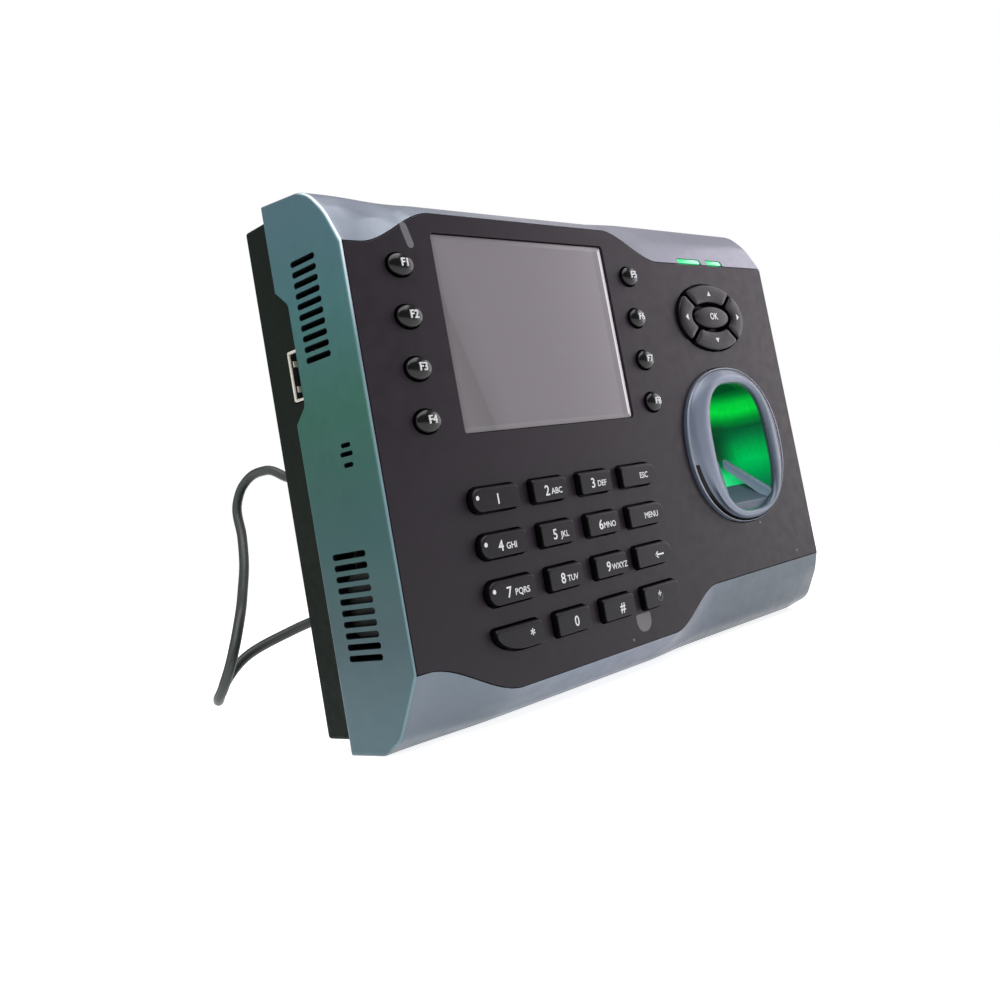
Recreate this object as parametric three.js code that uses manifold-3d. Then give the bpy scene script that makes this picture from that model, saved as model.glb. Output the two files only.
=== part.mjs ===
// Fingerprint time terminal: a landscape wall or desk unit with a display, keys and a finger reader.
// Every size is in millimetres. Inside the unit group X runs from the left side of the housing,
// Y runs back from the front face and Z runs up from the underside.
import * as THREE from 'three';
import { mergeVertices } from 'three/addons/utils/BufferGeometryUtils.js';
import Module from 'manifold-3d';

const wasm = await Module();
wasm.setup();

// ---------- driving dimensions ----------
const WIDTH = 198.8;
const HEIGHT = 145.1;
const TOP_FRONT = 143.6;         // the top rises gently from here to the full height at the back
const GAP = 0.3;                 // clearance between pieces that touch
const SHELL_BACK = 30.5;         // back edge of the front shell
const REAR_FACE = 42;            // outer back face of the rear shell
const PLATE_THICKNESS = 1.5;
const PLATE_BACK = REAR_FACE + GAP + PLATE_THICKNESS;
const WALL = 2.2;                // moulded wall thickness

const PANEL_THICKNESS = 2.5;
const PANEL_RIM = 0.8;           // strip of front shell left at each side of the panel
const PANEL_TOP_LOW = 126.6;     // panel edges at the ends and in the taller middle
const PANEL_TOP_HIGH = 135.8;
const PANEL_BOTTOM_LOW = 8.7;
const PANEL_BOTTOM_HIGH = 19.4;
const LEDGE = 3;                 // width of the seat that the panel rests on

const WINDOW = { left: 30.8, right: 104.1, bottom: 75.7, top: 130.6 };

const KEY_TRAVEL = 1;
const KEY_PROUD = 2;
const KEY_EASE = 0.3;            // eased edge around each key's cap
const KEY_CLEARANCE = 0.4;       // slot around each key
const KEY_ROWS = [58, 45.8, 33.6, 21.4];
const KEY_HEIGHT = 6.5;
const FLANGE_FRONT = PANEL_THICKNESS + GAP;
const FLANGE_BACK = FLANGE_FRONT + 1;
const FLANGE_LIP = 0.9;
const FUNCTION_ROWS = [121.05, 107.35, 93.65, 79.95];
const MAT_FRONT = FLANGE_BACK + KEY_TRAVEL + GAP;
const MAT_THICKNESS = 1.2;
const BOARD_THICKNESS = 1.6;

const NAV = { x: 157.8, z: 107.7, a: 19.7, b: 11.6 };
const SCANNER = { x: 158.7, z: 61.9 };   // centre of the reader's opening
const BEZEL_PROUD = 3.4;

const USB = { front: 25.8, back: 31.4, bottom: 92, top: 105.6, left: 1.6, right: 15.5 };
const NETWORK = { left: 19, right: 35, bottom: 44, top: 60 };
const POWER = { x: 29, z: 74, half: 5.5, bore: 3.2 };
const PLUG_END = 60.5;           // where the power cord leaves its plug

const CORD_DIAMETER = 3;
const COIL = { x: 93, y: 72.5, inner: 11.25, outer: 23.25, base: 0.1, top: 6.2 };
const ADAPTER = { left: 128, right: 194, front: 48.5, back: 92.5, top: 28, lead: { y: 57.6, z: 9.6 } };

// ---------- materials ----------
function plastic(color, roughness, metalness = 0) {
  return new THREE.MeshStandardMaterial({ color, roughness, metalness });
}

const silverPaint = () => plastic(0x5f7f86, 0.38, 0.55);
const blackPanel = () => plastic(0x343137, 0.42);
const blackShell = () => plastic(0x1a2624, 0.6);
const keyBlack = () => plastic(0x242227, 0.3);
const screenGlass = () => plastic(0x8a8488, 0.12);
const darkMoulding = () => plastic(0x202326, 0.6);
const siliconeGrey = () => plastic(0x6d7072, 0.85);
const boardGreen = () => plastic(0x1f5a3a, 0.55);
const bezelSilver = () => plastic(0x6c7380, 0.35, 0.4);
const lensGreen = () => plastic(0x10a54c, 0.15);
const steel = () => plastic(0x9aa0a4, 0.35, 0.9);
const cordBlack = () => plastic(0x1c1d1e, 0.55);

// ---------- geometry helpers ----------
function indexed(positions, index) {
  const geometry = new THREE.BufferGeometry();
  geometry.setAttribute('position', new THREE.Float32BufferAttribute(positions, 3));
  geometry.setIndex(index);
  return geometry;
}

function signedVolume(positions, index) {
  const point = (i) => new THREE.Vector3().fromArray(positions, 3 * i);
  let sum = 0;
  for (let i = 0; i < index.length; i += 3) {
    sum += point(index[i]).dot(point(index[i + 1]).cross(point(index[i + 2])));
  }
  return sum / 6;
}

// Triangles over a flat ring, all turning the same way as the ring itself.
function capTriangles(ring) {
  const box = new THREE.Box3().setFromPoints(ring);
  const size = box.getSize(new THREE.Vector3());
  const flat = Math.min(size.x, size.y, size.z);
  let pick = (p) => new THREE.Vector2(p.x, p.y);
  if (flat === size.x) pick = (p) => new THREE.Vector2(p.y, p.z);
  else if (flat === size.y) pick = (p) => new THREE.Vector2(p.x, p.z);
  const contour = ring.map(pick);
  const turn = Math.sign(THREE.ShapeUtils.area(contour));
  return THREE.ShapeUtils.triangulateShape(contour, []).map((face) => {
    const area = THREE.ShapeUtils.area(face.map((i) => contour[i]));
    return Math.sign(area) === turn ? face : [face[0], face[2], face[1]];
  });
}

// A closed body through rings that all have the same number of points.
function loft(rings, closed = false) {
  const count = rings[0].length;
  const positions = rings.flat().flatMap((p) => [p.x, p.y, p.z]);
  const index = [];
  const spans = closed ? rings.length : rings.length - 1;
  for (let i = 0; i < spans; i += 1) {
    const a = i * count;
    const b = ((i + 1) % rings.length) * count;
    for (let j = 0; j < count; j += 1) {
      const k = (j + 1) % count;
      index.push(a + j, b + j, b + k, a + j, b + k, a + k);
    }
  }
  if (!closed) {
    const last = (rings.length - 1) * count;
    capTriangles(rings[0]).forEach((f) => index.push(f[0], f[1], f[2]));
    capTriangles(rings[rings.length - 1]).forEach((f) => index.push(last + f[0], last + f[2], last + f[1]));
  }
  if (signedVolume(positions, index) < 0) index.reverse();
  return indexed(positions, index);
}

function toSolid(geometry) {
  const bare = geometry.clone();
  bare.deleteAttribute('normal');
  bare.deleteAttribute('uv');
  const merged = mergeVertices(bare, 1e-4);
  const mesh = new wasm.Mesh({
    numProp: 3,
    vertProperties: new Float32Array(merged.attributes.position.array),
    triVerts: new Uint32Array(merged.index.array),
  });
  return new wasm.Manifold(mesh);
}

function toGeometry(manifold) {
  const mesh = manifold.getMesh();
  return indexed(Array.from(mesh.vertProperties), Array.from(mesh.triVerts));
}

function cut(base, ...tools) {
  return toGeometry(tools.reduce((body, tool) => body.subtract(toSolid(tool)), toSolid(base)));
}

function join(base, ...extras) {
  return toGeometry(extras.reduce((body, extra) => body.add(toSolid(extra)), toSolid(base)));
}

function box(x0, x1, y0, y1, z0, z1) {
  const geometry = new THREE.BoxGeometry(x1 - x0, y1 - y0, z1 - z0);
  return geometry.translate((x0 + x1) / 2, (y0 + y1) / 2, (z0 + z1) / 2);
}

function cylinderY(x, z, radius, y0, y1, sides = 24) {
  const geometry = new THREE.CylinderGeometry(radius, radius, y1 - y0, sides);
  return geometry.translate(x, (y0 + y1) / 2, z);
}

// A prism along Y from an outline of (x, z) points, with optional holes.
function prismY(outline, y0, y1, holes = []) {
  const shape = new THREE.Shape(outline);
  shape.holes = holes.map((hole) => new THREE.Path(hole));
  const geometry = new THREE.ExtrudeGeometry(shape, { depth: y1 - y0, bevelEnabled: false });
  return geometry.rotateX(Math.PI / 2).translate(0, y1, 0);
}

// A prism along X from an outline of (y, z) points.
function prismX(outline, x0, x1) {
  const ring = (x) => outline.map(([y, z]) => new THREE.Vector3(x, y, z));
  return loft([ring(x0), ring(x1)]);
}

// A stack of (x, z) outlines along Y, given as [y, outline] pairs.
function stackY(levels) {
  return loft(levels.map(([y, outline]) => outline.map((p) => new THREE.Vector3(p.x, y, p.y))));
}

// A stack of (x, y) outlines along Z, given as [z, outline] pairs.
function stackZ(levels) {
  return loft(levels.map(([z, outline]) => outline.map((p) => new THREE.Vector3(p.x, p.y, z))));
}

function ellipse(x, z, a, b, steps) {
  return Array.from({ length: steps }, (_, i) => {
    const t = (2 * Math.PI * i) / steps;
    return new THREE.Vector2(x + a * Math.cos(t), z + b * Math.sin(t));
  });
}

function superellipse(x, z, a, b, power, steps) {
  const bend = (v) => Math.sign(v) * Math.abs(v) ** (2 / power);
  return Array.from({ length: steps }, (_, i) => {
    const t = (2 * Math.PI * i) / steps;
    return new THREE.Vector2(x + a * bend(Math.cos(t)), z + b * bend(Math.sin(t)));
  });
}

// A rectangle whose corners are quarter ellipses, each given as [rx, rz],
// in the order bottom left, bottom right, top right, top left.
function cornered(area, corners, grow = 0) {
  const left = area.left - grow;
  const right = area.right + grow;
  const bottom = area.bottom - grow;
  const top = area.top + grow;
  const places = [[left, bottom, 1, 1], [right, bottom, -1, 1], [right, top, -1, -1], [left, top, 1, -1]];
  const points = [];
  places.forEach(([x, z, inX, inZ], i) => {
    const rx = Math.max(corners[i][0] + grow, 0.2);
    const rz = Math.max(corners[i][1] + grow, 0.2);
    const steps = rx > 2 ? 5 : 2;
    for (let s = 0; s <= steps; s += 1) {
      const t = Math.PI + (Math.PI / 2) * (i + s / steps);
      points.push(new THREE.Vector2(x + inX * rx + rx * Math.cos(t), z + inZ * rz + rz * Math.sin(t)));
    }
  });
  return points;
}

// ---------- assembly ----------
const unit = new THREE.Group();

function add(name, geometry, material) {
  geometry.computeVertexNormals();
  const mesh = new THREE.Mesh(geometry, material);
  mesh.name = name;
  unit.add(mesh);
}

// ---------- front shell and panel outline ----------
function smooth(x, from, to) {
  return THREE.MathUtils.smoothstep(x, from, to);
}

// 0 at the ends of the front, 1 along its taller middle.
const topSwell = (x) => smooth(x, 6, 32) - smooth(x, 106, 133);
const bottomSwell = (x) => smooth(x, 4, 36) - smooth(x, 105, 131);
const panelTop = (x) => THREE.MathUtils.lerp(PANEL_TOP_LOW, PANEL_TOP_HIGH, topSwell(x));
const panelBottom = (x) => THREE.MathUtils.lerp(PANEL_BOTTOM_HIGH, PANEL_BOTTOM_LOW, bottomSwell(x));

// X stations that are close together where the outline swells.
const STATIONS = [
  0, 4, 6, 10, 14, 18, 22, 26, 30, 34, 36,
  104, 107, 111, 115, 119, 123, 127, 131, 134, 145, 160, 178, WIDTH,
];

function shellSection(x) {
  const top = topSwell(x);
  const bottom = bottomSwell(x);
  const mix = THREE.MathUtils.lerp;
  const right = smooth(x, 131, WIDTH);
  return [
    [0, panelBottom(x)],
    [0, panelTop(x)],
    [mix(4.5, 5.5, top), mix(135.9, panelTop(x) + 3.7, top)],
    [mix(9.8, 13, top), mix(141.8, 142.3, top)],
    [mix(13.5, 16.4, top), TOP_FRONT],
    [SHELL_BACK, HEIGHT],
    [SHELL_BACK, 0],
    [mix(17, 14.5, bottom), 0],
    [mix(mix(9.8, 7.6, right), 10.3, bottom), mix(mix(3.6, 3.9, right), 1.8, bottom)],
    [mix(mix(4.7, 2.2, right), 5, bottom), mix(mix(11.6, 13.4, right), 5.1, bottom)],
  ].map(([y, z]) => new THREE.Vector3(x, y, z));
}

function panelOutline(inset) {
  const from = PANEL_RIM + inset;
  const to = WIDTH - PANEL_RIM - inset;
  const inner = STATIONS.filter((x) => x > from && x < to);
  const xs = [from, ...inner, to];
  const low = xs.map((x) => new THREE.Vector2(x, panelBottom(x) + inset));
  const high = xs.map((x) => new THREE.Vector2(x, panelTop(x) - inset)).reverse();
  return [...low, ...high];
}

const STATUS_LIGHTS = [
  { name: 'status_light_left', left: 146.3, right: 159.6 },
  { name: 'status_light_right', left: 164.1, right: 173.1 },
];
const LIGHT_BOTTOM = PANEL_TOP_LOW + 0.5;
const LIGHT_TOP = LIGHT_BOTTOM + 1.7;

// Rows of side vents, each from front to back.
const VENTS = [
  { count: 10, top: 126.3, pitch: 2.82, front: 11.1, back: 21.3 },
  { count: 10, top: 50.2, pitch: 2.86, front: 10.9, back: 24.1 },
];
const VENT_HEIGHT = 1.4;
const MICROPHONE_SLOTS = [[9.6, 13.2, 77.3], [9.2, 14, 75.1], [9.7, 13.2, 72.3]];

function ventTools() {
  const tools = MICROPHONE_SLOTS.map(([front, back, z]) => box(-1, WALL + 1, front, back, z - 0.5, z + 0.5));
  VENTS.forEach((row) => {
    for (let i = 0; i < row.count; i += 1) {
      const z = row.top - i * row.pitch;
      tools.push(box(-1, WALL + 1, row.front, row.back, z - VENT_HEIGHT / 2, z + VENT_HEIGHT / 2));
    }
  });
  return tools;
}

const NOTCH = [[25.2, 90], [25.2, 117], [30, 121.4], [32, 121.4], [32, 85.6], [30, 85.6]];

const CAVITY = [[6, 24], [6, 121], [14, 139.8], [16, 141.2], [32, 141.2], [32, 2.4], [16, 2.4], [14, 5]];

function frontShell() {
  const outer = loft(STATIONS.map(shellSection));
  const pocket = prismY(panelOutline(-GAP), -5, FLANGE_FRONT);
  const opening = prismY(panelOutline(LEDGE), FLANGE_FRONT - 1, 14);
  const cavity = prismX(CAVITY, WALL, WIDTH - WALL);
  const notch = prismX(NOTCH, -1, WALL + 1);
  const lights = STATUS_LIGHTS.map(({ left, right }) => (
    box(left - GAP, right + GAP, -1, 12, LIGHT_BOTTOM - 1, LIGHT_TOP + GAP)
  ));
  return cut(outer, pocket, opening, cavity, notch, ...lights, ...ventTools());
}

add('front_shell', frontShell(), silverPaint());

STATUS_LIGHTS.forEach(({ name, left, right }) => {
  const section = [[0.4, LIGHT_BOTTOM], [1.1, LIGHT_TOP], [9, LIGHT_TOP], [9, LIGHT_BOTTOM]];
  add(name, prismX(section, left, right), plastic(0x3fd08a, 0.25));
});

// ---------- keys ----------
const SQUARE = [0.9, 0.9];
const ROUND = [3.2, 3.2];
const COLUMNS = [
  { left: 27.1, right: 44.7, corners: [ROUND, SQUARE, SQUARE, ROUND] },
  { left: 50.6, right: 64.5, corners: [SQUARE, SQUARE, SQUARE, SQUARE] },
  { left: 70.7, right: 84.8, corners: [SQUARE, SQUARE, SQUARE, SQUARE] },
  { left: 90.1, right: 107.4, corners: [SQUARE, ROUND, ROUND, SQUARE] },
];
const LEAF_LEFT = [[11, 5.4], SQUARE, SQUARE, SQUARE];
const LEAF_RIGHT = [SQUARE, [11, 5.4], SQUARE, SQUARE];
const KEYPAD_NAMES = [
  ['key_1', 'key_2', 'key_3', 'key_esc'],
  ['key_4', 'key_5', 'key_6', 'key_menu'],
  ['key_7', 'key_8', 'key_9', 'key_dash'],
  ['key_star', 'key_0', 'key_hash', 'key_power'],
];

// Every key has an outline that can be grown, and a flat cap with an eased edge.
function keypadKeys() {
  return KEYPAD_NAMES.flatMap((names, row) => names.map((name, column) => {
    const z = KEY_ROWS[row];
    const { left, right } = COLUMNS[column];
    let { corners } = COLUMNS[column];
    if (name === 'key_star') corners = LEAF_LEFT;
    if (name === 'key_power') corners = LEAF_RIGHT;
    const area = { left, right, bottom: z - KEY_HEIGHT / 2, top: z + KEY_HEIGHT / 2 };
    return { name, outline: (grow) => cornered(area, corners, grow) };
  }));
}

function functionKeys(prefix, x, a, b) {
  return FUNCTION_ROWS.map((z, i) => ({
    name: `${prefix}${i + 1}`,
    outline: (grow) => ellipse(x, z, a + grow, b + grow, 16),
  }));
}

const flangedKeys = [
  ...functionKeys('key_f', 17.9, 4.3, 3),
  ...functionKeys('key_side_', 115, 3.9, 3),
  ...keypadKeys(),
];

flangedKeys.forEach(({ name, outline }) => {
  const levels = [
    [-KEY_PROUD, outline(-KEY_EASE)],
    [-KEY_PROUD + KEY_EASE, outline(0)],
    [FLANGE_FRONT, outline(0)],
    [FLANGE_FRONT, outline(FLANGE_LIP)],
    [FLANGE_BACK, outline(FLANGE_LIP)],
  ];
  add(name, stackY(levels), keyBlack());
});

// ---------- navigation keys ----------
const NAV_PROUD = 1.3;
const NAV_CLEARANCE = 0.5;
const NAV_LIP = 1.2;
const OK_KEY = { a: 10.4, b: 3.8 };
const ARC_INNER = { a: 12.2, b: 5.3 };

// One quarter of the ring around the centre key, with straight ends along the diagonals.
function arcOutline(middleAngle, grow) {
  const halfSpan = Math.PI / 4;
  const steps = 8;
  const along = (a, b, trim) => Array.from({ length: steps + 1 }, (_, i) => {
    const t = middleAngle + (halfSpan - trim) * ((2 * i) / steps - 1);
    return new THREE.Vector2(NAV.x + a * Math.cos(t), NAV.z + b * Math.sin(t));
  });
  const outer = along(NAV.a + grow, NAV.b + grow, 0.045);
  const inner = along(ARC_INNER.a, ARC_INNER.b, 0.08).reverse();
  return [...outer, ...inner];
}

const ARC_KEYS = [['key_right', 0], ['key_up', 90], ['key_left', 180], ['key_down', 270]];
ARC_KEYS.forEach(([name, degrees]) => {
  const outline = (grow) => arcOutline(THREE.MathUtils.degToRad(degrees), grow);
  const levels = [
    [-NAV_PROUD, outline(-0.4)],
    [-NAV_PROUD + 0.4, outline(0)],
    [FLANGE_FRONT, outline(0)],
    [FLANGE_FRONT, outline(NAV_LIP)],
    [FLANGE_BACK, outline(NAV_LIP)],
  ];
  add(name, stackY(levels), keyBlack());
});

const okOutline = (grow) => ellipse(NAV.x, NAV.z, OK_KEY.a + grow, OK_KEY.b + grow, 24);
add('key_ok', stackY([
  [-NAV_PROUD - 0.5, okOutline(-0.6)],
  [-NAV_PROUD, okOutline(0)],
  [FLANGE_BACK, okOutline(0)],
]), keyBlack());

// ---------- scanner ----------
const RING_STEPS = 40;
const OUTER_RING = { x: 157.7, z: 63, a: 28.8, b: 26.7, power: 2.15 };
const INNER_RING = { x: SCANNER.x, z: SCANNER.z, a: 17.6, b: 22, power: 2.8 };
const THROAT = 0.94;             // where the bezel's back edge lies between the two rings

function ringPoints(mix, grow = 0) {
  const blend = (name) => THREE.MathUtils.lerp(OUTER_RING[name], INNER_RING[name], mix);
  const a = blend('a') + grow;
  const b = blend('b') + grow;
  return superellipse(blend('x'), blend('z'), a, b, blend('power'), RING_STEPS);
}

// The bezel's cross-section, from the outer edge (0) to the inner edge (1), as [mix, y].
const BEZEL_SECTION = [
  [0, 2.2], [0, -0.8], [0.16, -2.4], [0.5, -BEZEL_PROUD], [0.84, -2.9], [1, -1.9], [THROAT, 2.2],
];

function scannerBezel() {
  const loops = BEZEL_SECTION.map(([mix, y]) => ringPoints(mix).map((p) => new THREE.Vector3(p.x, y, p.y)));
  return loft(loops, true);
}

add('scanner_bezel', scannerBezel(), bezelSilver());

const SHROUD_FRONT = 2.5;
const SHROUD_BACK = 18;
const SHROUD_WALL = 2;
const shroud = prismY(ringPoints(THROAT, SHROUD_WALL), SHROUD_FRONT, SHROUD_BACK, [ringPoints(THROAT)]);
add('scanner_shroud', shroud, darkMoulding());

// A sloping glass block behind the opening, nearest to the front at its foot.
const PRISM_HALF_WIDTH = 12;
const PRISM = [[6.5, -14], [12.5, 14.6], [17.6, 14.6], [17.6, -14]].map(([y, z]) => [y, SCANNER.z + z]);
add('scanner_prism', prismX(PRISM, SCANNER.x - PRISM_HALF_WIDTH, SCANNER.x + PRISM_HALF_WIDTH), lensGreen());

// A cradle that leads the finger up to the glass: a sloping floor, and two rails that run in
// from the front rim and close up towards the middle of the glass.
function fingerGuide() {
  const low = SCANNER.z - INNER_RING.b;
  const half = INNER_RING.a;
  const back = 5.8;
  const floor = prismX(
    [[-1.2, low - 2], [-1.2, low + 3], [back, low + 9.5], [back, low - 2]],
    SCANNER.x - half,
    SCANNER.x + half,
  );
  const quad = (y, x0, x1, z0, z1) => (
    [[x0, z0], [x1, z0], [x1, z1], [x0, z1]].map(([x, z]) => new THREE.Vector3(SCANNER.x + x, y, z))
  );
  const rail = (side) => loft([
    quad(-2.8, side * (half - 3.6), side * half, low - 1, low + 4),
    quad(7.7, side * 1.2, side * 4, low + 15.4, low + 18.6),
  ]);
  const bounds = prismY(ringPoints(1, -GAP), -5, 8);
  return toGeometry(toSolid(join(floor, rail(-1), rail(1))).intersect(toSolid(bounds)));
}

add('finger_guide', fingerGuide(), bezelSilver());

function scannerBoard() {
  return box(SCANNER.x - 17, SCANNER.x + 17, 18.4, 20, SCANNER.z - 21, SCANNER.z + 21);
}

add('scanner_board', scannerBoard(), boardGreen());

// ---------- panel and window ----------
const windowOutline = (grow) => cornered(WINDOW, [SQUARE, SQUARE, SQUARE, SQUARE], grow);

function frontPanel() {
  const holes = [
    windowOutline(0),
    ...flangedKeys.map(({ outline }) => outline(KEY_CLEARANCE)),
    ellipse(NAV.x, NAV.z, NAV.a + NAV_CLEARANCE, NAV.b + NAV_CLEARANCE, 32),
    ringPoints(0, GAP),
  ];
  return prismY(panelOutline(0), 0, PANEL_THICKNESS, holes);
}

add('front_panel', frontPanel(), blackPanel());
add('display_window', prismY(windowOutline(-GAP), 0.6, 2.2), screenGlass());

function displayModule() {
  return box(WINDOW.left - 3, WINDOW.right + 3, 2.9, 7.5, WINDOW.bottom - 3, WINDOW.top + 1);
}

add('display_module', displayModule(), darkMoulding());

// ---------- key mat and key board, around the display and the scanner ----------
const MAT_OUTLINE = [
  [11, 124.6], [11, 70], [22, 66], [26, 15.5], [112, 15.5], [122.5, 24], [122.5, 93.2],
  [183, 93.2], [183, 123], [109.6, 123], [109.6, 70], [24.4, 70], [24.4, 124.6],
].map(([x, z]) => new THREE.Vector2(x, z));
const MAT_BACK = MAT_FRONT + MAT_THICKNESS;
const BOARD_FRONT = MAT_BACK + GAP;
add('key_mat', prismY(MAT_OUTLINE, MAT_FRONT, MAT_BACK), siliconeGrey());
add('key_board', prismY(MAT_OUTLINE, BOARD_FRONT, BOARD_FRONT + BOARD_THICKNESS), boardGreen());

// ---------- wall plate and its screws ----------
const PLATE = { left: 58, right: 176, bottom: 24, top: 122 };
const PLATE_INSET = 10;          // from the plate's edges to its holes
const PLATE_SCREWS = [
  { name: 'plate_screw_left', x: PLATE.left + PLATE_INSET, z: PLATE.bottom + PLATE_INSET },
  { name: 'plate_screw_right', x: PLATE.right - PLATE_INSET, z: PLATE.bottom + PLATE_INSET },
];

function wallPlate() {
  const corner = [4, 4];
  const hole = (x, z) => ellipse(x, z, 2.3, 2.3, 16);
  const holes = [
    ...PLATE_SCREWS.map(({ x, z }) => hole(x, z)),
    hole(PLATE.left + PLATE_INSET, PLATE.top - PLATE_INSET),
    hole(PLATE.right - PLATE_INSET, PLATE.top - PLATE_INSET),
    hole((PLATE.left + PLATE.right) / 2, PLATE.top - PLATE_INSET),
  ];
  const outline = cornered(PLATE, [corner, corner, corner, corner]);
  return prismY(outline, REAR_FACE + GAP, PLATE_BACK, holes);
}

add('wall_plate', wallPlate(), steel());

// Countersunk screws whose heads stay just under the plate's back.
PLATE_SCREWS.forEach(({ name, x, z }) => {
  const head = PLATE_BACK - 0.1;
  const profile = [[0, REAR_FACE - 5], [1.2, REAR_FACE - 5], [1.2, head - 0.9], [1.95, head], [0, head]];
  const points = profile.map(([radius, y]) => new THREE.Vector2(radius, y));
  add(name, new THREE.LatheGeometry(points, 16).translate(x, 0, z), steel());
});

// ---------- rear shell ----------
const REAR = { left: 2, right: WIDTH - 2, bottom: 3.4, top: 141.8 };

function rearOutline(inset) {
  const area = {
    left: REAR.left + inset,
    right: REAR.right - inset,
    bottom: REAR.bottom + inset,
    top: REAR.top - inset,
  };
  const corner = [1.2, 1.2];
  return cornered(area, [corner, corner, corner, corner]);
}

// The part of the rear shell's left wall that reaches forward into the front shell's notch.
const TONGUE = [[25.6, 90.4], [25.6, 116.6], [30, 120.9], [32.8, 120.9], [32.8, 86.1], [30, 86.1]];

// A channel down the back that holds the power cord flush with the housing.
const GROOVE = { x: 36.5, half: 1.8, top: 26, depth: 3.6, wall: 1.5 };

function cableGroove(grow) {
  const { x, half, top, depth } = GROOVE;
  return box(x - half - grow, x + half + grow, REAR_FACE - depth - grow, REAR_FACE + 1, -1, top + grow);
}

function rearShell() {
  const front = SHELL_BACK + GAP;
  const outer = stackY([
    [front, rearOutline(0)],
    [REAR_FACE - 0.8, rearOutline(0.2)],
    [REAR_FACE, rearOutline(0.9)],
  ]);
  const hollow = prismY(rearOutline(2.4), front - 1, REAR_FACE - WALL);
  const tongue = prismX(TONGUE, REAR.left, REAR.left + WALL);
  const usbSlot = box(-1, 6, 24, USB.back + GAP, USB.bottom - GAP, USB.top + GAP);
  const opening = (x0, x1, z0, z1) => (
    box(x0 - GAP, x1 + GAP, REAR_FACE - 5, REAR_FACE + 1, z0 - GAP, z1 + GAP)
  );
  const networkSlot = opening(NETWORK.left, NETWORK.right, NETWORK.bottom, NETWORK.top);
  const { x: powerX, z: powerZ, half } = POWER;
  const powerSlot = opening(powerX - half, powerX + half, powerZ - half, powerZ + half);
  const screwHoles = PLATE_SCREWS.map(({ x, z }) => cylinderY(x, z, 1.6, REAR_FACE - 5, REAR_FACE + 1));
  const shell = cut(outer, cut(hollow, cableGroove(GROOVE.wall)), cableGroove(0));
  return cut(join(shell, tongue), usbSlot, networkSlot, powerSlot, ...screwHoles);
}

add('rear_shell', rearShell(), blackShell());

// ---------- sockets and inner boards ----------
function usbSocket() {
  const { left, right, front, back, bottom, top } = USB;
  const wall = 0.45;
  const outer = box(left, right, front, back, bottom, top);
  const mouth = box(left - 1, right - 3, front + wall, back - wall, bottom + wall, top - wall);
  return cut(outer, mouth);
}

add('usb_socket', usbSocket(), steel());

const SOCKET_FRONT = 25.8;
const NETWORK_MOUTH = { left: 21, right: 33, bottom: 47, top: 56 };

function networkSocket() {
  const outer = box(NETWORK.left, NETWORK.right, SOCKET_FRONT, REAR_FACE - 0.4, NETWORK.bottom, NETWORK.top);
  const { left, right, bottom, top } = NETWORK_MOUTH;
  return cut(outer, box(left, right, REAR_FACE - 12.5, REAR_FACE + 1, bottom, top));
}

add('network_socket', networkSocket(), darkMoulding());

function powerSocket() {
  const { x, z, half, bore } = POWER;
  const outer = box(x - half, x + half, SOCKET_FRONT, REAR_FACE - 0.4, z - half, z + half);
  return cut(outer, cylinderY(x, z, bore, REAR_FACE - 10.5, REAR_FACE + 1));
}

add('power_socket', powerSocket(), darkMoulding());
add('main_board', box(12, 120, 24, 25.5, 20, 125), boardGreen());

const speakerDisc = new THREE.CylinderGeometry(9, 9, 6.5, 28).rotateZ(Math.PI / 2);
add('speaker', speakerDisc.translate(6.2, 17.6, 37.2), darkMoulding());

// ---------- power plug, cord, coil, tie and adapter ----------
function powerPlug() {
  const { x, z } = POWER;
  const profile = [
    [0, REAR_FACE - 9], [2.75, REAR_FACE - 9], [2.75, REAR_FACE + GAP], [4.8, REAR_FACE + GAP],
    [5, REAR_FACE + 1], [5, REAR_FACE + 10], [3.4, REAR_FACE + 12], [2.4, PLUG_END], [0, PLUG_END],
  ].map(([radius, y]) => new THREE.Vector2(radius, y));
  return new THREE.LatheGeometry(profile, 20).translate(x, 0, z);
}

add('power_plug', powerPlug(), cordBlack());

const CORD_RISE = COIL.base + CORD_DIAMETER / 2;   // height of the cord's centre on the table

// Out of the plug, over in an arch, down, round and back behind the unit to the groove, then
// along the table to the coil.
const CORD_ROUTE = [
  [POWER.x, PLUG_END + GAP, POWER.z], [28.9, 65.5, 74], [27.1, 75.5, 76.2], [25, 83.7, 80.1],
  [22.6, 88.2, 79.4], [20.3, 90.9, 76.5], [18.4, 92, 72.1], [15.6, 88.2, 61.1], [11.8, 83.2, 54.1],
  [3.8, 73.7, 45.6], [-5.6, 63, 37.6], [-10, 60, 31.6], [-12.3, 60.1, 26.6], [-13.4, 62.2, 22.4],
  [-13.1, 66.4, 18.9], [-10.8, 70.9, 17.5], [-7.4, 75.4, 18.3], [-3.2, 78.9, 20.7], [5.7, 81.1, 26.1],
  [16.8, 76.6, 30.2], [28.6, 63.8, 33.2], [35.8, 50.2, 28.6], [GROOVE.x, 43, 21.5], [GROOVE.x, 40.3, 14.5],
  [GROOVE.x, 40.8, 6.5], [GROOVE.x, 42.5, 3.9], [36.8, 48.2, CORD_RISE], [39.2, 53.9, CORD_RISE],
  [45, 56.4, CORD_RISE], [54, 55.3, CORD_RISE], [66, 51.9, CORD_RISE], [79.5, 50.75, CORD_RISE],
];

// From the coil's last turn up to the adapter.
const TAIL_END = ADAPTER.left - 3 - GAP;
const TAIL_ROUTE = [
  [106.5, 51.3, 5.2], [111.5, 52.7, 6.3], [116.5, 54.9, 7.9], [121, 56.9, 9.2],
  [TAIL_END, ADAPTER.lead.y, ADAPTER.lead.z],
];

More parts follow.
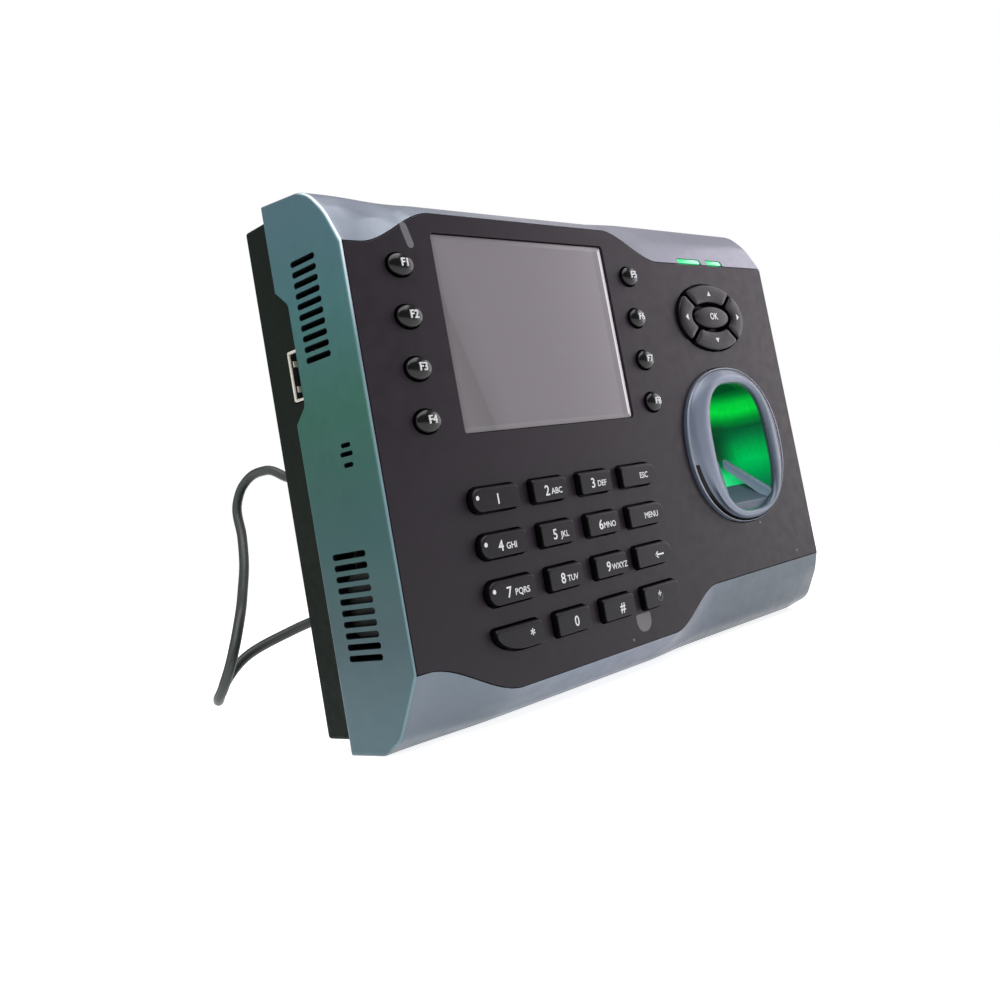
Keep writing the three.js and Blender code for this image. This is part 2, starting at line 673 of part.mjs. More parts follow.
function cordTube(points, steps) {
  const curve = new THREE.CatmullRomCurve3(points.map((p) => new THREE.Vector3(...p)));
  const radius = CORD_DIAMETER / 2;
  const section = new THREE.Shape(Array.from({ length: 8 }, (_, i) => {
    const t = (Math.PI * (2 * i + 1)) / 8;
    return new THREE.Vector2(radius * Math.cos(t), radius * Math.sin(t));
  }));
  return new THREE.ExtrudeGeometry(section, { steps, extrudePath: curve, bevelEnabled: false });
}

add('power_cord', cordTube(CORD_ROUTE, 52), cordBlack());
add('cord_tail', cordTube(TAIL_ROUTE, 8), cordBlack());

function coilRing() {
  const profile = [
    [COIL.inner, COIL.base], [COIL.outer, COIL.base], [COIL.outer, COIL.top],
    [COIL.inner, COIL.top], [COIL.inner, COIL.base],
  ].map(([radius, z]) => new THREE.Vector2(radius, z));
  return new THREE.LatheGeometry(profile, 28).rotateX(Math.PI / 2).translate(COIL.x, COIL.y, 0);
}

add('cord_coil', coilRing(), cordBlack());

// A strap over the coil's left side, with a leg down each side of its turns.
function cordTie() {
  const outside = COIL.x - COIL.outer - GAP;
  const inside = COIL.x - COIL.inner + 2 * GAP;
  const arch = box(outside - 1, inside + 1, COIL.y - 3, COIL.y + 3, COIL.base, COIL.top + GAP + 1);
  return cut(arch, box(outside, inside, COIL.y - 4, COIL.y + 4, COIL.base - 1, COIL.top + GAP));
}

add('cord_tie', cordTie(), plastic(0x101010, 0.7));

function adapterOutline(inset) {
  const area = {
    left: ADAPTER.left + inset,
    right: ADAPTER.right - inset,
    bottom: ADAPTER.front + inset,
    top: ADAPTER.back - inset,
  };
  const corner = [5, 5];
  return cornered(area, [corner, corner, corner, corner]);
}

function powerAdapter() {
  const body = stackZ([
    [0, adapterOutline(1.2)], [1.2, adapterOutline(0)], [ADAPTER.top - 2, adapterOutline(0.4)],
    [ADAPTER.top, adapterOutline(2.4)],
  ]);
  const boss = new THREE.CylinderGeometry(3.4, 2.4, 8, 16).rotateZ(Math.PI / 2);
  boss.translate(ADAPTER.left + 1, ADAPTER.lead.y, ADAPTER.lead.z);
  return join(body, boss);
}

add('power_adapter', powerAdapter(), cordBlack());

const PIN_MIDDLE = { x: 166, y: (ADAPTER.front + ADAPTER.back) / 2 };
[['adapter_pin_left', -6.35], ['adapter_pin_right', 6.35]].forEach(([name, offset]) => {
  const x = PIN_MIDDLE.x + offset;
  const bottom = ADAPTER.top + GAP;
  add(name, box(x - 0.75, x + 0.75, PIN_MIDDLE.y - 3.2, PIN_MIDDLE.y + 3.2, bottom, bottom + 16), steel());
});

// ---------- origin: the centre of the base, on the surface that the unit stands on ----------
unit.position.set(-WIDTH / 2, -(PLATE_BACK - BEZEL_PROUD) / 2, 0);

const terminal = new THREE.Group();
terminal.add(unit);

export default terminal;
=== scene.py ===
"""Looks of a fingerprint time terminal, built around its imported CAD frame.

Points are worked out in the unit's own millimetres: X from the left side of the housing, Y back
from the front face and Z up from the underside. metres() turns them into the frame's metres.
"""

import math

import bmesh
import bpy
import numpy as np
from mathutils import Matrix, Vector


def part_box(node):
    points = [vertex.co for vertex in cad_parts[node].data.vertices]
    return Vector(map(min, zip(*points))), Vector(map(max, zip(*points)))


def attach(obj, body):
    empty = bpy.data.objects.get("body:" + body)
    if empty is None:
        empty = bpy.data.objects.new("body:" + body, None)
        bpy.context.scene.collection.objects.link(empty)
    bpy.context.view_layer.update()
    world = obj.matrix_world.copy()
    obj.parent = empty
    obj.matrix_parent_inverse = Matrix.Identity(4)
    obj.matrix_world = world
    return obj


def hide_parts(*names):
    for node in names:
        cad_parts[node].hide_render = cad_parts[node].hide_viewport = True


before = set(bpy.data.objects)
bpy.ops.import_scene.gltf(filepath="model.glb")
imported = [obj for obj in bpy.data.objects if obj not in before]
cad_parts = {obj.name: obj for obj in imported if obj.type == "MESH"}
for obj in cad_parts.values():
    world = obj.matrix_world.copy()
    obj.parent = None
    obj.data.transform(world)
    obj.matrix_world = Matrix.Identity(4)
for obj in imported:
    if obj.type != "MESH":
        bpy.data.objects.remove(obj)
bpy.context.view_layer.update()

MM = 0.001
ORIGIN = np.array(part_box("front_shell")[0], float)


def metres(points):
    return ORIGIN + np.asarray(points, float) * MM


def limits(node):
    """A node's lowest and highest corners, in the unit's millimetres."""
    low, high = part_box(node)
    return (np.array(low) - ORIGIN) / MM, (np.array(high) - ORIGIN) / MM


# ---------- camera ----------
CAMERA_AT = (-172.27, -206.65, 52.65)
CAMERA_FORWARD = Vector((0.72916, 0.67889, 0.0862))
CAMERA_RIGHT = Vector((0.68161, -0.70922, -0.18006))

camera_data = bpy.data.cameras.new("camera")
camera_data.sensor_width = 36
camera_data.lens = 39.88
camera_data.shift_x = -0.0128
camera_data.shift_y = -0.0820
camera_data.clip_start = 0.01
camera_data.clip_end = 20
camera = bpy.data.objects.new("camera", camera_data)
bpy.context.scene.collection.objects.link(camera)
camera_up = CAMERA_RIGHT.cross(CAMERA_FORWARD).normalized()
camera_axes = Matrix((CAMERA_RIGHT.normalized(), camera_up, -CAMERA_FORWARD.normalized())).transposed()
camera.matrix_world = Matrix.Translation(Vector(metres(CAMERA_AT))) @ camera_axes.to_4x4()
bpy.context.scene.camera = camera
bpy.context.scene.view_settings.view_transform = "Standard"


# ---------- materials ----------
def linear(red, green, blue):
    def channel(value):
        value /= 255
        return value / 12.92 if value <= 0.04045 else ((value + 0.055) / 1.055) ** 2.4

    return (channel(red), channel(green), channel(blue), 1)


class Nodes:
    """A material's node tree, with short calls for the nodes that the materials share."""

    def __init__(self, name):
        self.material = bpy.data.materials.new(name)
        self.material.use_nodes = True
        self.tree = self.material.node_tree
        self.shader = self.tree.nodes["Principled BSDF"]
        self.coordinates = self.add("ShaderNodeTexCoord").outputs["Object"]

    def add(self, kind, **settings):
        node = self.tree.nodes.new(kind)
        for key, value in settings.items():
            setattr(node, key, value)
        return node

    def feed(self, socket, item):
        """Link another socket to this one, or set its value."""
        if isinstance(item, bpy.types.NodeSocket):
            self.tree.links.new(item, socket)
        else:
            socket.default_value = item

    def put(self, name, item):
        """The same for one of the shader's own inputs."""
        self.feed(self.shader.inputs[name], item)

    def noise(self, scale, detail):
        node = self.add("ShaderNodeTexNoise")
        for name, item in (("Vector", self.coordinates), ("Scale", scale), ("Detail", detail)):
            self.feed(node.inputs[name], item)
        return node.outputs["Fac"]

    def span(self, value, low, high, to_low, to_high, kind="LINEAR"):
        node = self.add("ShaderNodeMapRange", interpolation_type=kind)
        names = ("Value", "From Min", "From Max", "To Min", "To Max")
        for name, item in zip(names, (value, low, high, to_low, to_high)):
            self.feed(node.inputs[name], item)
        return node.outputs["Result"]

    def drift(self, scale, detail, low, high):
        """A value that drifts between low and high over the surface."""
        return self.span(self.noise(scale, detail), 0.3, 0.7, low, high)

    def ramp(self, value, stops):
        """Colours along a value, from (place, colour) stops."""
        node = self.add("ShaderNodeValToRGB")
        elements = node.color_ramp.elements
        while len(elements) < len(stops):
            elements.new(0.5)
        for element, (place, colour) in zip(elements, stops):
            element.position = place
            element.color = colour
        self.feed(node.inputs["Fac"], value)
        return node.outputs["Color"]

    def tones(self, value, stops):
        """A ramp of display colours from 0 to 255, as (place, red, green, blue) stops."""
        return self.ramp(value, [(place, linear(*colour)) for place, *colour in stops])

    def factors(self, value, stops):
        """A ramp of factors to multiply by, as (place, red, green, blue) stops."""
        return self.ramp(value, [(place, (*colour, 1)) for place, *colour in stops])

    def mix(self, factor, first, second, blend="MIX"):
        node = self.add("ShaderNodeMix", data_type="RGBA", blend_type=blend)
        for socket, item in ((0, factor), (6, first), (7, second)):
            self.feed(node.inputs[socket], item)
        return node.outputs[2]

    def times(self, first, second):
        """One colour multiplied by another."""
        return self.mix(1.0, first, second, "MULTIPLY")

    def arithmetic(self, operation, *items):
        node = self.add("ShaderNodeMath", operation=operation)
        for socket, item in zip(node.inputs, items):
            self.feed(socket, item)
        return node.outputs[0]

    def grey(self, value):
        node = self.add("ShaderNodeCombineColor")
        for channel in ("Red", "Green", "Blue"):
            self.feed(node.inputs[channel], value)
        return node.outputs[0]

    def part(self, vector, name):
        split = self.add("ShaderNodeSeparateXYZ")
        self.feed(split.inputs[0], vector)
        return split.outputs[name]

    def axis(self, name):
        return self.part(self.coordinates, name)

    def facing(self, name):
        return self.part(self.add("ShaderNodeNewGeometry").outputs["Normal"], name)

    def along(self, name, low, high, to_low=0, to_high=1, kind="LINEAR"):
        """A value that changes between two places on an axis, in unit millimetres."""
        start = ORIGIN["XYZ".index(name)]
        return self.span(self.axis(name), start + low * MM, start + high * MM, to_low, to_high, kind)

    def relief(self, scale, height):
        """A fine unevenness of the surface, its height in millimetres."""
        node = self.add("ShaderNodeBump")
        for name, item in (("Distance", height * MM), ("Strength", 1.0), ("Height", self.noise(scale, 2))):
            self.feed(node.inputs[name], item)
        self.put("Normal", node.outputs["Normal"])

    def finish(self, metal=0.0, coat=0.0, specular=0.5):
        self.put("Metallic", metal)
        self.put("Coat Weight", coat)
        self.put("Coat Roughness", 0.08)
        self.put("Specular IOR Level", specular)
        return self.material


def scaled(colour, factor):
    return tuple(min(1, channel * factor) for channel in colour[:3]) + (1,)


def surface(
    name, colour, rough, grain, relief, metal=0.0, coat=0.0, mottle=60, vary=0.08, specular=0.5
):
    """A moulded, painted or metal surface: mottled colour, uneven gloss and a fine relief."""
    nodes = Nodes(name)
    base = linear(*colour)
    stops = [(0.3, scaled(base, 1 - vary)), (0.7, scaled(base, 1 + vary))]
    nodes.put("Base Color", nodes.ramp(nodes.noise(mottle, 4), stops))
    nodes.put("Roughness", nodes.drift(mottle * 6, 3, rough * 0.88, rough * 1.12))
    nodes.relief(grain, relief)
    return nodes.finish(metal, coat, specular)


def silver_paint():
    """Satin silver paint with a fine metallic flake, and painted light: a teal painted reflection down the
    flat sides, painted light and shade on the slopes, and a painted glint on the rolled front edges.
    """
    nodes = Nodes("silver_paint")
    height = nodes.along("Z", 0, 145)
    # Painted reflection: the flat sides are painted teal, in a gradient up the height.
    side = nodes.tones(height, [
        (0.0, 62, 89, 98), (0.2, 40, 69, 75), (0.4, 38, 78, 77), (0.6, 40, 89, 76), (0.8, 58, 101, 105),
        (1.0, 69, 98, 109),
    ])
    # Painted light: the slopes are painted lighter towards the top.
    slope = nodes.tones(height, [(0.0, 92, 102, 112), (0.5, 96, 106, 116), (1.0, 116, 120, 130)])
    sideways = nodes.arithmetic("ABSOLUTE", nodes.facing("X"))
    blend = nodes.span(sideways, 0.6, 0.93, 0, 1, "SMOOTHSTEP")
    across = nodes.along("X", 0, 200)
    # Painted light and shade along the housing: lower slopes darker towards the right end, upper slopes
    # lighter along the middle.
    lower_painted_light = nodes.factors(across, [
        (0.1, 0.95, 0.97, 1.0), (0.3, 0.86, 0.92, 1.1), (0.5, 0.94, 0.9, 1.08), (0.72, 0.52, 0.56, 0.6),
    ])
    upper_painted_light = nodes.factors(across, [
        (0.12, 0.88, 0.93, 1.0), (0.35, 1.55, 1.45, 1.42), (0.8, 1.26, 1.15, 1.22),
    ])
    painted_light_along = nodes.mix(nodes.span(height, 0.4, 0.6, 0, 1), lower_painted_light, upper_painted_light)
    colour = nodes.mix(blend, nodes.times(slope, painted_light_along), side)
    # Painted glint: a pale tint on the rolled edges between side and slope, only near the front.
    rolled = nodes.factors(sideways, [(0.3, 0, 0, 0), (0.5, 1, 1, 1), (0.8, 1, 1, 1), (0.97, 0, 0, 0)])
    glint = nodes.tones(height, [(0.2, 96, 122, 130), (0.7, 112, 134, 144), (0.86, 214, 226, 236)])
    colour = nodes.mix(nodes.arithmetic("MULTIPLY", rolled, nodes.along("Y", 12, 15, 1, 0)), colour, glint)
    flake = nodes.span(nodes.noise(5200, 1), 0.35, 0.65, 0.93, 1.07)
    shade = nodes.arithmetic("MULTIPLY", flake, nodes.drift(45, 4, 0.97, 1.03))
    nodes.put("Base Color", nodes.times(colour, nodes.grey(shade)))
    nodes.put("Roughness", nodes.drift(260, 3, 0.36, 0.46))
    nodes.relief(3400, 0.006)
    return nodes.finish(metal=0.35, coat=0.15)


def light_pipe():
    """A translucent green moulding lit from within, a little brighter in places."""
    nodes = Nodes("light_green")
    base = linear(52, 200, 124)
    tint = nodes.ramp(nodes.noise(180, 3), [(0.3, scaled(base, 0.92)), (0.7, base)])
    nodes.put("Base Color", tint)
    nodes.put("Emission Color", tint)
    nodes.put("Emission Strength", 0.55)
    nodes.put("Roughness", nodes.drift(900, 2, 0.16, 0.26))
    nodes.relief(1500, 0.004)
    return nodes.finish(coat=0.4)


def reader_light(nodes):
    """The reader's green light as painted colour: a band near the top, and a lower one that is higher on the
    right.
    """
    height = nodes.along("Z", 38, 86)
    near = nodes.tones(height, [
        (0.04, 24, 60, 58), (0.17, 10, 104, 70), (0.29, 0, 150, 74), (0.4, 0, 188, 86),
        (0.48, 2, 168, 76), (0.58, 8, 116, 62), (0.65, 8, 86, 46), (0.71, 2, 140, 50),
        (0.77, 4, 212, 62), (0.83, 4, 198, 60), (0.885, 2, 116, 42), (0.93, 0, 60, 27), (1.0, 0, 38, 20),
    ])
    deep = nodes.tones(height, [
        (0.04, 40, 190, 120), (0.2, 48, 226, 140), (0.3, 30, 214, 116), (0.38, 6, 96, 54),
        (0.44, 4, 56, 34), (0.58, 4, 54, 33), (0.67, 8, 70, 38), (0.73, 4, 150, 52),
        (0.79, 6, 212, 64), (0.85, 4, 196, 60), (0.92, 0, 76, 32), (1.0, 0, 40, 20),
    ])
    lean = -0.9
    slant = nodes.arithmetic("MULTIPLY_ADD", nodes.axis("Y"), lean, nodes.axis("X"))
    corner = ORIGIN[0] + lean * ORIGIN[1]
    toward = nodes.span(slant, corner + 150 * MM, corner + 170 * MM, 0, 1, "SMOOTHSTEP")
    return nodes.mix(toward, deep, near)


def reader_glow(name):
    """Walls and glass of the reader, with the green light from within painted on as a glow."""
    nodes = Nodes(name)
    nodes.put("Base Color", linear(0, 14, 8))
    nodes.put("Emission Color", reader_light(nodes))
    nodes.put("Emission Strength", nodes.drift(700, 3, 0.94, 1.06))
    nodes.put("Roughness", nodes.drift(900, 2, 0.4, 0.55))
    nodes.relief(1500, 0.004)
    return nodes.finish(specular=0.08)


def bezel_paint(name, light, painted_shade, spill=False):
    """Satin blue-silver paint with painted shade where it faces the sides and towards its right end; with
    spill, the reader's green light is painted up it as a glow, over a base painted darker and greener further
    in.
    """
    nodes = Nodes(name)
    light, painted_shade = linear(*light), linear(*painted_shade)
    # Painted shade: light and shaded tones by which way the surface faces, darker where it faces the sides.
    facing = nodes.span(nodes.facing("X"), -1, 1, 0, 1)
    turn = nodes.ramp(facing, [(0.08, painted_shade), (0.3, light), (0.48, light), (0.6, painted_shade)])
    # Painted shade: darker towards the right end.
    across = nodes.factors(nodes.along("X", 129, 187), [
        (0.0, 1.05, 1.06, 1.07), (0.3, 1.0, 1.0, 1.0), (0.6, 0.9, 0.92, 0.92), (0.85, 0.6, 0.66, 0.68),
    ])
    colour = nodes.times(nodes.times(turn, across), nodes.grey(nodes.drift(60, 3, 0.95, 1.05)))
    # Painted light: the reader's green light as a glow that grows further in, over a base painted darker and
    # greener.
    if spill:
        nodes.put("Emission Color", reader_light(nodes))
        nodes.put("Emission Strength", nodes.along("Y", -1.7, -0.5, 0, 0.9, "SMOOTHSTEP"))
        painted_depth_shade = nodes.along("Y", -1.7, -0.5, 0, 1, "SMOOTHSTEP")
        colour = nodes.mix(painted_depth_shade, colour, linear(4, 30, 18))
    nodes.put("Base Color", colour)
    nodes.put("Roughness", nodes.drift(400, 3, 0.32, 0.4))
    nodes.relief(3600, 0.004)
    return nodes.finish(metal=0.35, coat=0.1)


def window_glass():
    """Grey glass with a soft painted reflection slanting across it and a band of painted shade along its
    right side.
    """
    nodes = Nodes("screen_glass")
    slant = nodes.arithmetic("MULTIPLY_ADD", nodes.axis("Z"), 0.32, nodes.axis("X"))
    edge = ORIGIN[0] + 68 * MM
    # Painted reflection: a soft slanting change of tone across the glass.
    painted_reflection = nodes.tones(nodes.span(slant, edge - 8 * MM, edge + 8 * MM, 0, 1), [
        (0.0, 104, 100, 104), (0.46, 98, 94, 98), (0.54, 106, 102, 106), (1.0, 112, 107, 112),
    ])
    # Painted shade: a darker band along the right side.
    painted_shade_band = nodes.factors(nodes.along("X", 97, 103.5), [
        (0.35, 1, 1, 1), (0.5, 0.8, 0.8, 0.8), (0.72, 0.84, 0.84, 0.84), (0.85, 0.95, 0.95, 0.95),
    ])
    nodes.put("Base Color", nodes.times(painted_reflection, painted_shade_band))
    nodes.put("Roughness", nodes.drift(300, 3, 0.18, 0.23))
    nodes.relief(1800, 0.001)
    return nodes.finish(coat=0.15)


# Display colour, roughness, scale of the grain, its height in millimetres, and what isn't usual.
SURFACES = {
    "black_panel": ((20, 12, 22), 0.42, 3800, 0.005, dict(mottle=40, vary=0.05, specular=0.26)),
    "key_black": ((17, 13, 18), 0.36, 3000, 0.004, dict(specular=0.22)),
    # Painted shade: near black for the sides of keys, which lean away from the front.
    "key_wall_painted_shade": ((3, 3, 4), 0.5, 3000, 0.004, dict(specular=0.08)),
    "button_black": ((3, 3, 4), 0.2, 2600, 0.002, dict(coat=0.1, specular=0.3)),
    # Painted shade for the bezel's groove where it is widest, low on the left.
    "bezel_groove_painted_shade": ((15, 16, 20), 0.5, 3600, 0.004, dict(specular=0.2)),
    # Painted shade for the walls of the vents and short slots.
    "vent_painted_shade": ((6, 13, 17), 0.6, 2200, 0.01, dict(specular=0.1)),
    # Painted highlight for the right side of the window's bevel.
    "window_glint": ((206, 201, 206), 0.3, 1800, 0.001, dict(coat=0.2, vary=0.03)),
    # Dark moulding for sockets and inner parts, also used as painted shade inside the USB shell.
    "dark_moulding": ((20, 22, 23), 0.6, 2200, 0.02, {}),
    "key_silicone": ((96, 98, 100), 0.8, 1500, 0.01, {}),
    "board_green": ((24, 82, 54), 0.5, 1200, 0.01, dict(mottle=300, vary=0.2)),
    "guide_floor": ((58, 74, 90), 0.42, 3600, 0.004, dict(metal=0.2)),
    "guide_rail": ((98, 120, 136), 0.34, 3600, 0.004, dict(metal=0.3, coat=0.2)),
    # Painted highlight: a lighter blue-silver for the bezel's outer lip.
    "bezel_lip_painted_highlight": ((128, 130, 142), 0.34, 3600, 0.004, dict(metal=0.3, coat=0.1)),
    "rear_black": ((8, 17, 12), 0.6, 1700, 0.03, dict(mottle=70, vary=0.1, specular=0.12)),
    "socket_steel": ((196, 190, 178), 0.3, 2000, 0.004, dict(metal=0.3, mottle=200, vary=0.15)),
    "steel": ((150, 153, 156), 0.32, 2000, 0.004, dict(metal=1.0, mottle=120)),
    "cord_black": ((38, 43, 42), 0.42, 2600, 0.008, {}),
    "adapter_black": ((20, 21, 23), 0.55, 1500, 0.03, {}),
    "tie_black": ((16, 16, 17), 0.6, 2400, 0.02, {}),
    "legend_white": ((196, 196, 198), 0.5, 3000, 0.002, dict(vary=0.04)),
    "print_grey": ((84, 82, 86), 0.45, 3000, 0.002, dict(vary=0.05)),
    "gold": ((196, 160, 88), 0.3, 2500, 0.003, dict(metal=1.0)),
}
MATERIALS = {
    "silver_paint": silver_paint(),
    "screen_glass": window_glass(),
    "bezel_silver": bezel_paint("bezel_silver", (108, 116, 132), (76, 85, 100)),
    # The throat is a darker copy, painted shade, with the reader's green light painted up it as a glow.
    "bezel_throat": bezel_paint("bezel_throat", (96, 104, 120), (70, 80, 96), spill=True),
    "lens_green": reader_glow("lens_green"),
    "cavity_painted_glow": reader_glow("cavity_painted_glow"),
    "light_green": light_pipe(),
}
for name, (colour, rough, grain, relief, unusual) in SURFACES.items():
    MATERIALS[name] = surface(name, colour, rough, grain, relief, **unusual)


# ---------- mesh helpers ----------
def to_object(name, mesh):
    item = bpy.data.objects.new(name, mesh)
    bpy.context.scene.collection.objects.link(item)
    return item


def mesh_object(name, points, faces):
    """An object from points in unit millimetres."""
    mesh = bpy.data.meshes.new(name)
    mesh.from_pydata(metres(points).tolist(), [], faces)
    mesh.validate()
    mesh.update()
    return to_object(name, mesh)


def evaluated_mesh(item):
    bpy.context.view_layer.update()
    graph = bpy.context.evaluated_depsgraph_get()
    return bpy.data.meshes.new_from_object(item.evaluated_get(graph))


def loft(rings, closed=False):
    """Points and faces of a closed body through rings of the same number of points."""
    rings = [np.asarray(ring, float) for ring in rings]
    count = len(rings[0])
    points = np.vstack(rings)
    faces = []
    spans = len(rings) if closed else len(rings) - 1
    for i in range(spans):
        a, b = i * count, ((i + 1) % len(rings)) * count
        for j in range(count):
            k = (j + 1) % count
            faces.append((a + j, a + k, b + k, b + j))
    if not closed:
        last = (len(rings) - 1) * count
        faces.append(tuple(reversed(range(count))))
        faces.append(tuple(last + j for j in range(count)))
    return points, faces


def shade(mesh, angle=32):
    """Smooth shading, with sharp edges at real corners and around wide flat faces."""
    mesh.polygons.foreach_set("use_smooth", [True] * len(mesh.polygons))
    mesh.set_sharp_from_angle(angle=math.radians(angle))
    sides = {tuple(sorted(edge.vertices)): edge for edge in mesh.edges}
    flat_sides = {}
    for face in mesh.polygons:
        if len(face.vertices) > 8:
            for key in face.edge_keys:
                sides[tuple(sorted(key))].use_edge_sharp = True
        elif abs(face.normal.y) > 0.99999:
            for key in face.edge_keys:
                key = tuple(sorted(key))
                flat_sides[key] = flat_sides.get(key, 0) + 1
    for key, count in flat_sides.items():
        if count == 1:
            sides[key].use_edge_sharp = True


def tidy(item, angle=32):
    """Outward faces, smooth where the surface turns gently and sharp at its edges."""
    work = bmesh.new()
    work.from_mesh(item.data)
    bmesh.ops.remove_doubles(work, verts=work.verts, dist=1e-7)
    bmesh.ops.recalc_face_normals(work, faces=work.faces)
    work.to_mesh(item.data)
    work.free()
    shade(item.data, angle)
    return item


def body_of(name, rings, closed=False, angle=32):
    return tidy(mesh_object(name, *loft(rings, closed)), angle)


def joined(name, items):
    """One object from several, keeping each one's materials."""
    slots, points, faces, picks = [], [], [], []
    for mesh in [item.data for item in items]:
        for material in mesh.materials:
            if material not in slots:
                slots.append(material)
        places = [slots.index(material) for material in mesh.materials]
        offset = len(points)
        points += [tuple(v.co) for v in mesh.vertices]
        faces += [tuple(offset + i for i in face.vertices) for face in mesh.polygons]
        picks += [places[face.material_index] if places else 0 for face in mesh.polygons]
    mesh = bpy.data.meshes.new(name)
    mesh.from_pydata(points, [], faces)
    for slot in slots:
        mesh.materials.append(slot)
    mesh.polygons.foreach_set("material_index", picks)
    mesh.update()
    for item in items:
        bpy.data.objects.remove(item)
    shade(mesh)
    return to_object(name, mesh)


def combined(item, others, operation):
    """The item after a boolean operation with each of the others, which are used up."""
    for other in others:
        step = item.modifiers.new("step", "BOOLEAN")
        step.operation = operation
        step.solver = "EXACT"
        step.object = other
    mesh = evaluated_mesh(item)
    result = to_object(item.name, mesh)
    for old in (item, *others):
        bpy.data.objects.remove(old)
    mesh.name = result.name
    return result


def carve(item, cutters):
    return combined(item, cutters, "DIFFERENCE")


def paint(item, material):
    item.data.materials.clear()
    item.data.materials.append(MATERIALS[material])
    return item


def paint_where(item, material, chosen):
    """A second material on the chosen faces."""
    item.data.materials.append(MATERIALS[material])
    place = len(item.data.materials) - 1
    for face in item.data.polygons:
        if chosen(face):
            face.material_index = place
    return item


def present(item, node, body="root"):
    """The piece that stands for a CAD node."""
    item.name = f"{node}.fine"
    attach(item, body)
    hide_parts(node)
    return item


# ---------- outlines, as arrays of (x, z) ----------
def mix(a, b, t):
    return a + (b - a) * t


def quarter(steps):
    """Angles from 0 to a quarter turn."""
    return [math.pi / 2 * s / steps for s in range(steps + 1)]


def ellipse(x, z, a, b, steps=64):
    turn = np.linspace(0, 2 * np.pi, steps, endpoint=False)
    return np.stack([x + a * np.cos(turn), z + b * np.sin(turn)], 1)


def superellipse(x, z, a, b, power, steps):
    turn = np.linspace(0, 2 * np.pi, steps, endpoint=False)
    unit = np.stack([np.cos(turn), np.sin(turn)], 1)
    return np.array([x, z]) + np.array([a, b]) * (np.sign(unit) * np.abs(unit) ** (2 / power))


def cornered(left, right, bottom, top, corners, grow=0.0, steps=8):
    """A rectangle with quarter-ellipse corners [rx, rz]: bottom left, bottom right, top right, top left."""
    left, right, bottom, top = left - grow, right + grow, bottom - grow, top + grow
    places = [(left, bottom, 1, 1), (right, bottom, -1, 1), (right, top, -1, -1), (left, top, 1, -1)]
    points = []
    for i, (x, z, in_x, in_z) in enumerate(places):
        rx, rz = (max(r + grow, 0.1) for r in corners[i])
        for s in range(steps + 1):
            turn = math.pi + math.pi / 2 * (i + s / steps)
            points.append((x + in_x * rx + rx * math.cos(turn), z + in_z * rz + rz * math.sin(turn)))
    return np.array(points)


def rounded_polygon(points, radii, steps=5):
    """A convex polygon whose corners are replaced by arcs."""
    points = [np.asarray(p, float) for p in points]
    result = []
    for i, corner in enumerate(points):
        before, after = points[i - 1] - corner, points[(i + 1) % len(points)] - corner
        before_length, after_length = np.linalg.norm(before), np.linalg.norm(after)
        before, after = before / before_length, after / after_length
        half = math.acos(np.clip(before @ after, -1, 1)) / 2
        reach = min(radii[i] / math.tan(half), 0.48 * before_length, 0.48 * after_length)
        start, end = corner + before * reach, corner + after * reach
        for s in range(steps + 1):
            t = s / steps
            result.append((1 - t) ** 2 * start + 2 * t * (1 - t) * corner + t ** 2 * end)
    return np.array(result)


def at_depth(outline, y):
    """An (x, z) outline at one depth."""
    outline = np.asarray(outline, float)
    return np.stack([outline[:, 0], np.full(len(outline), float(y)), outline[:, 1]], 1)


def at_side(outline, x):
    """A (y, z) outline at one place along X."""
    outline = np.asarray(outline, float)
    return np.column_stack([np.full(len(outline), float(x)), outline])


def stack(name, levels, angle=32):
    """A body from (y, outline) levels."""
    return body_of(name, [at_depth(outline, y) for y, outline in levels], angle=angle)


def bar(name, section, stations, half=None):
    """A body along X from (x, inset) stations of one (y, z) section, half being its half size."""
    middle = section.mean(0)
    if half is None:
        half = np.abs(section - middle).max(0)
    return body_of(
        name, [at_side(middle + (section - middle) * (1 - inset / half), x) for x, inset in stations]
    )


def edge_levels(outline, base, face, edge, steps):
    """Levels from base to face, with an edge of that radius rolled over towards the face."""
    sign = 1 if face > base else -1
    levels = [(base, outline(0))]
    for turn in quarter(steps):
        levels.append((face - sign * edge * (1 - math.sin(turn)), outline(-edge * (1 - math.cos(turn)))))
    return levels


def stood_up(name, curve, x, y, z):
    """The body of a flat curve, turned to face the front at a place in unit millimetres."""
    item = to_object(name, curve)
    mesh = evaluated_mesh(item)
    bpy.data.objects.remove(item)
    raw = np.empty(len(mesh.vertices) * 3)
    mesh.vertices.foreach_get("co", raw)
    raw = raw.reshape(-1, 3)
    points = metres(np.stack([x + raw[:, 0], y - raw[:, 2], z + raw[:, 1]], 1))
    mesh.vertices.foreach_set("co", points.ravel())
    mesh.update()
    return tidy(to_object(name, mesh))


def plate(name, outline, holes, front, back, edge):
    """A flat plate across Y with holes, its edges rolled over front and back."""
    curve = bpy.data.curves.new(name, "CURVE")
    curve.dimensions = "2D"
    curve.fill_mode = "BOTH"
    curve.extrude = (back - front) / 2 - edge
    curve.bevel_depth = edge
    curve.bevel_resolution = 3
    curve.offset = -edge
    for ring in [outline, *holes]:
        spline = curve.splines.new("POLY")
        spline.points.add(len(ring) - 1)
        corners = np.column_stack([ring, np.zeros(len(ring)), np.ones(len(ring))])
        spline.points.foreach_set("co", corners.ravel())
        spline.use_cyclic_u = True
    return stood_up(name, curve, 0, (front + back) / 2, 0)


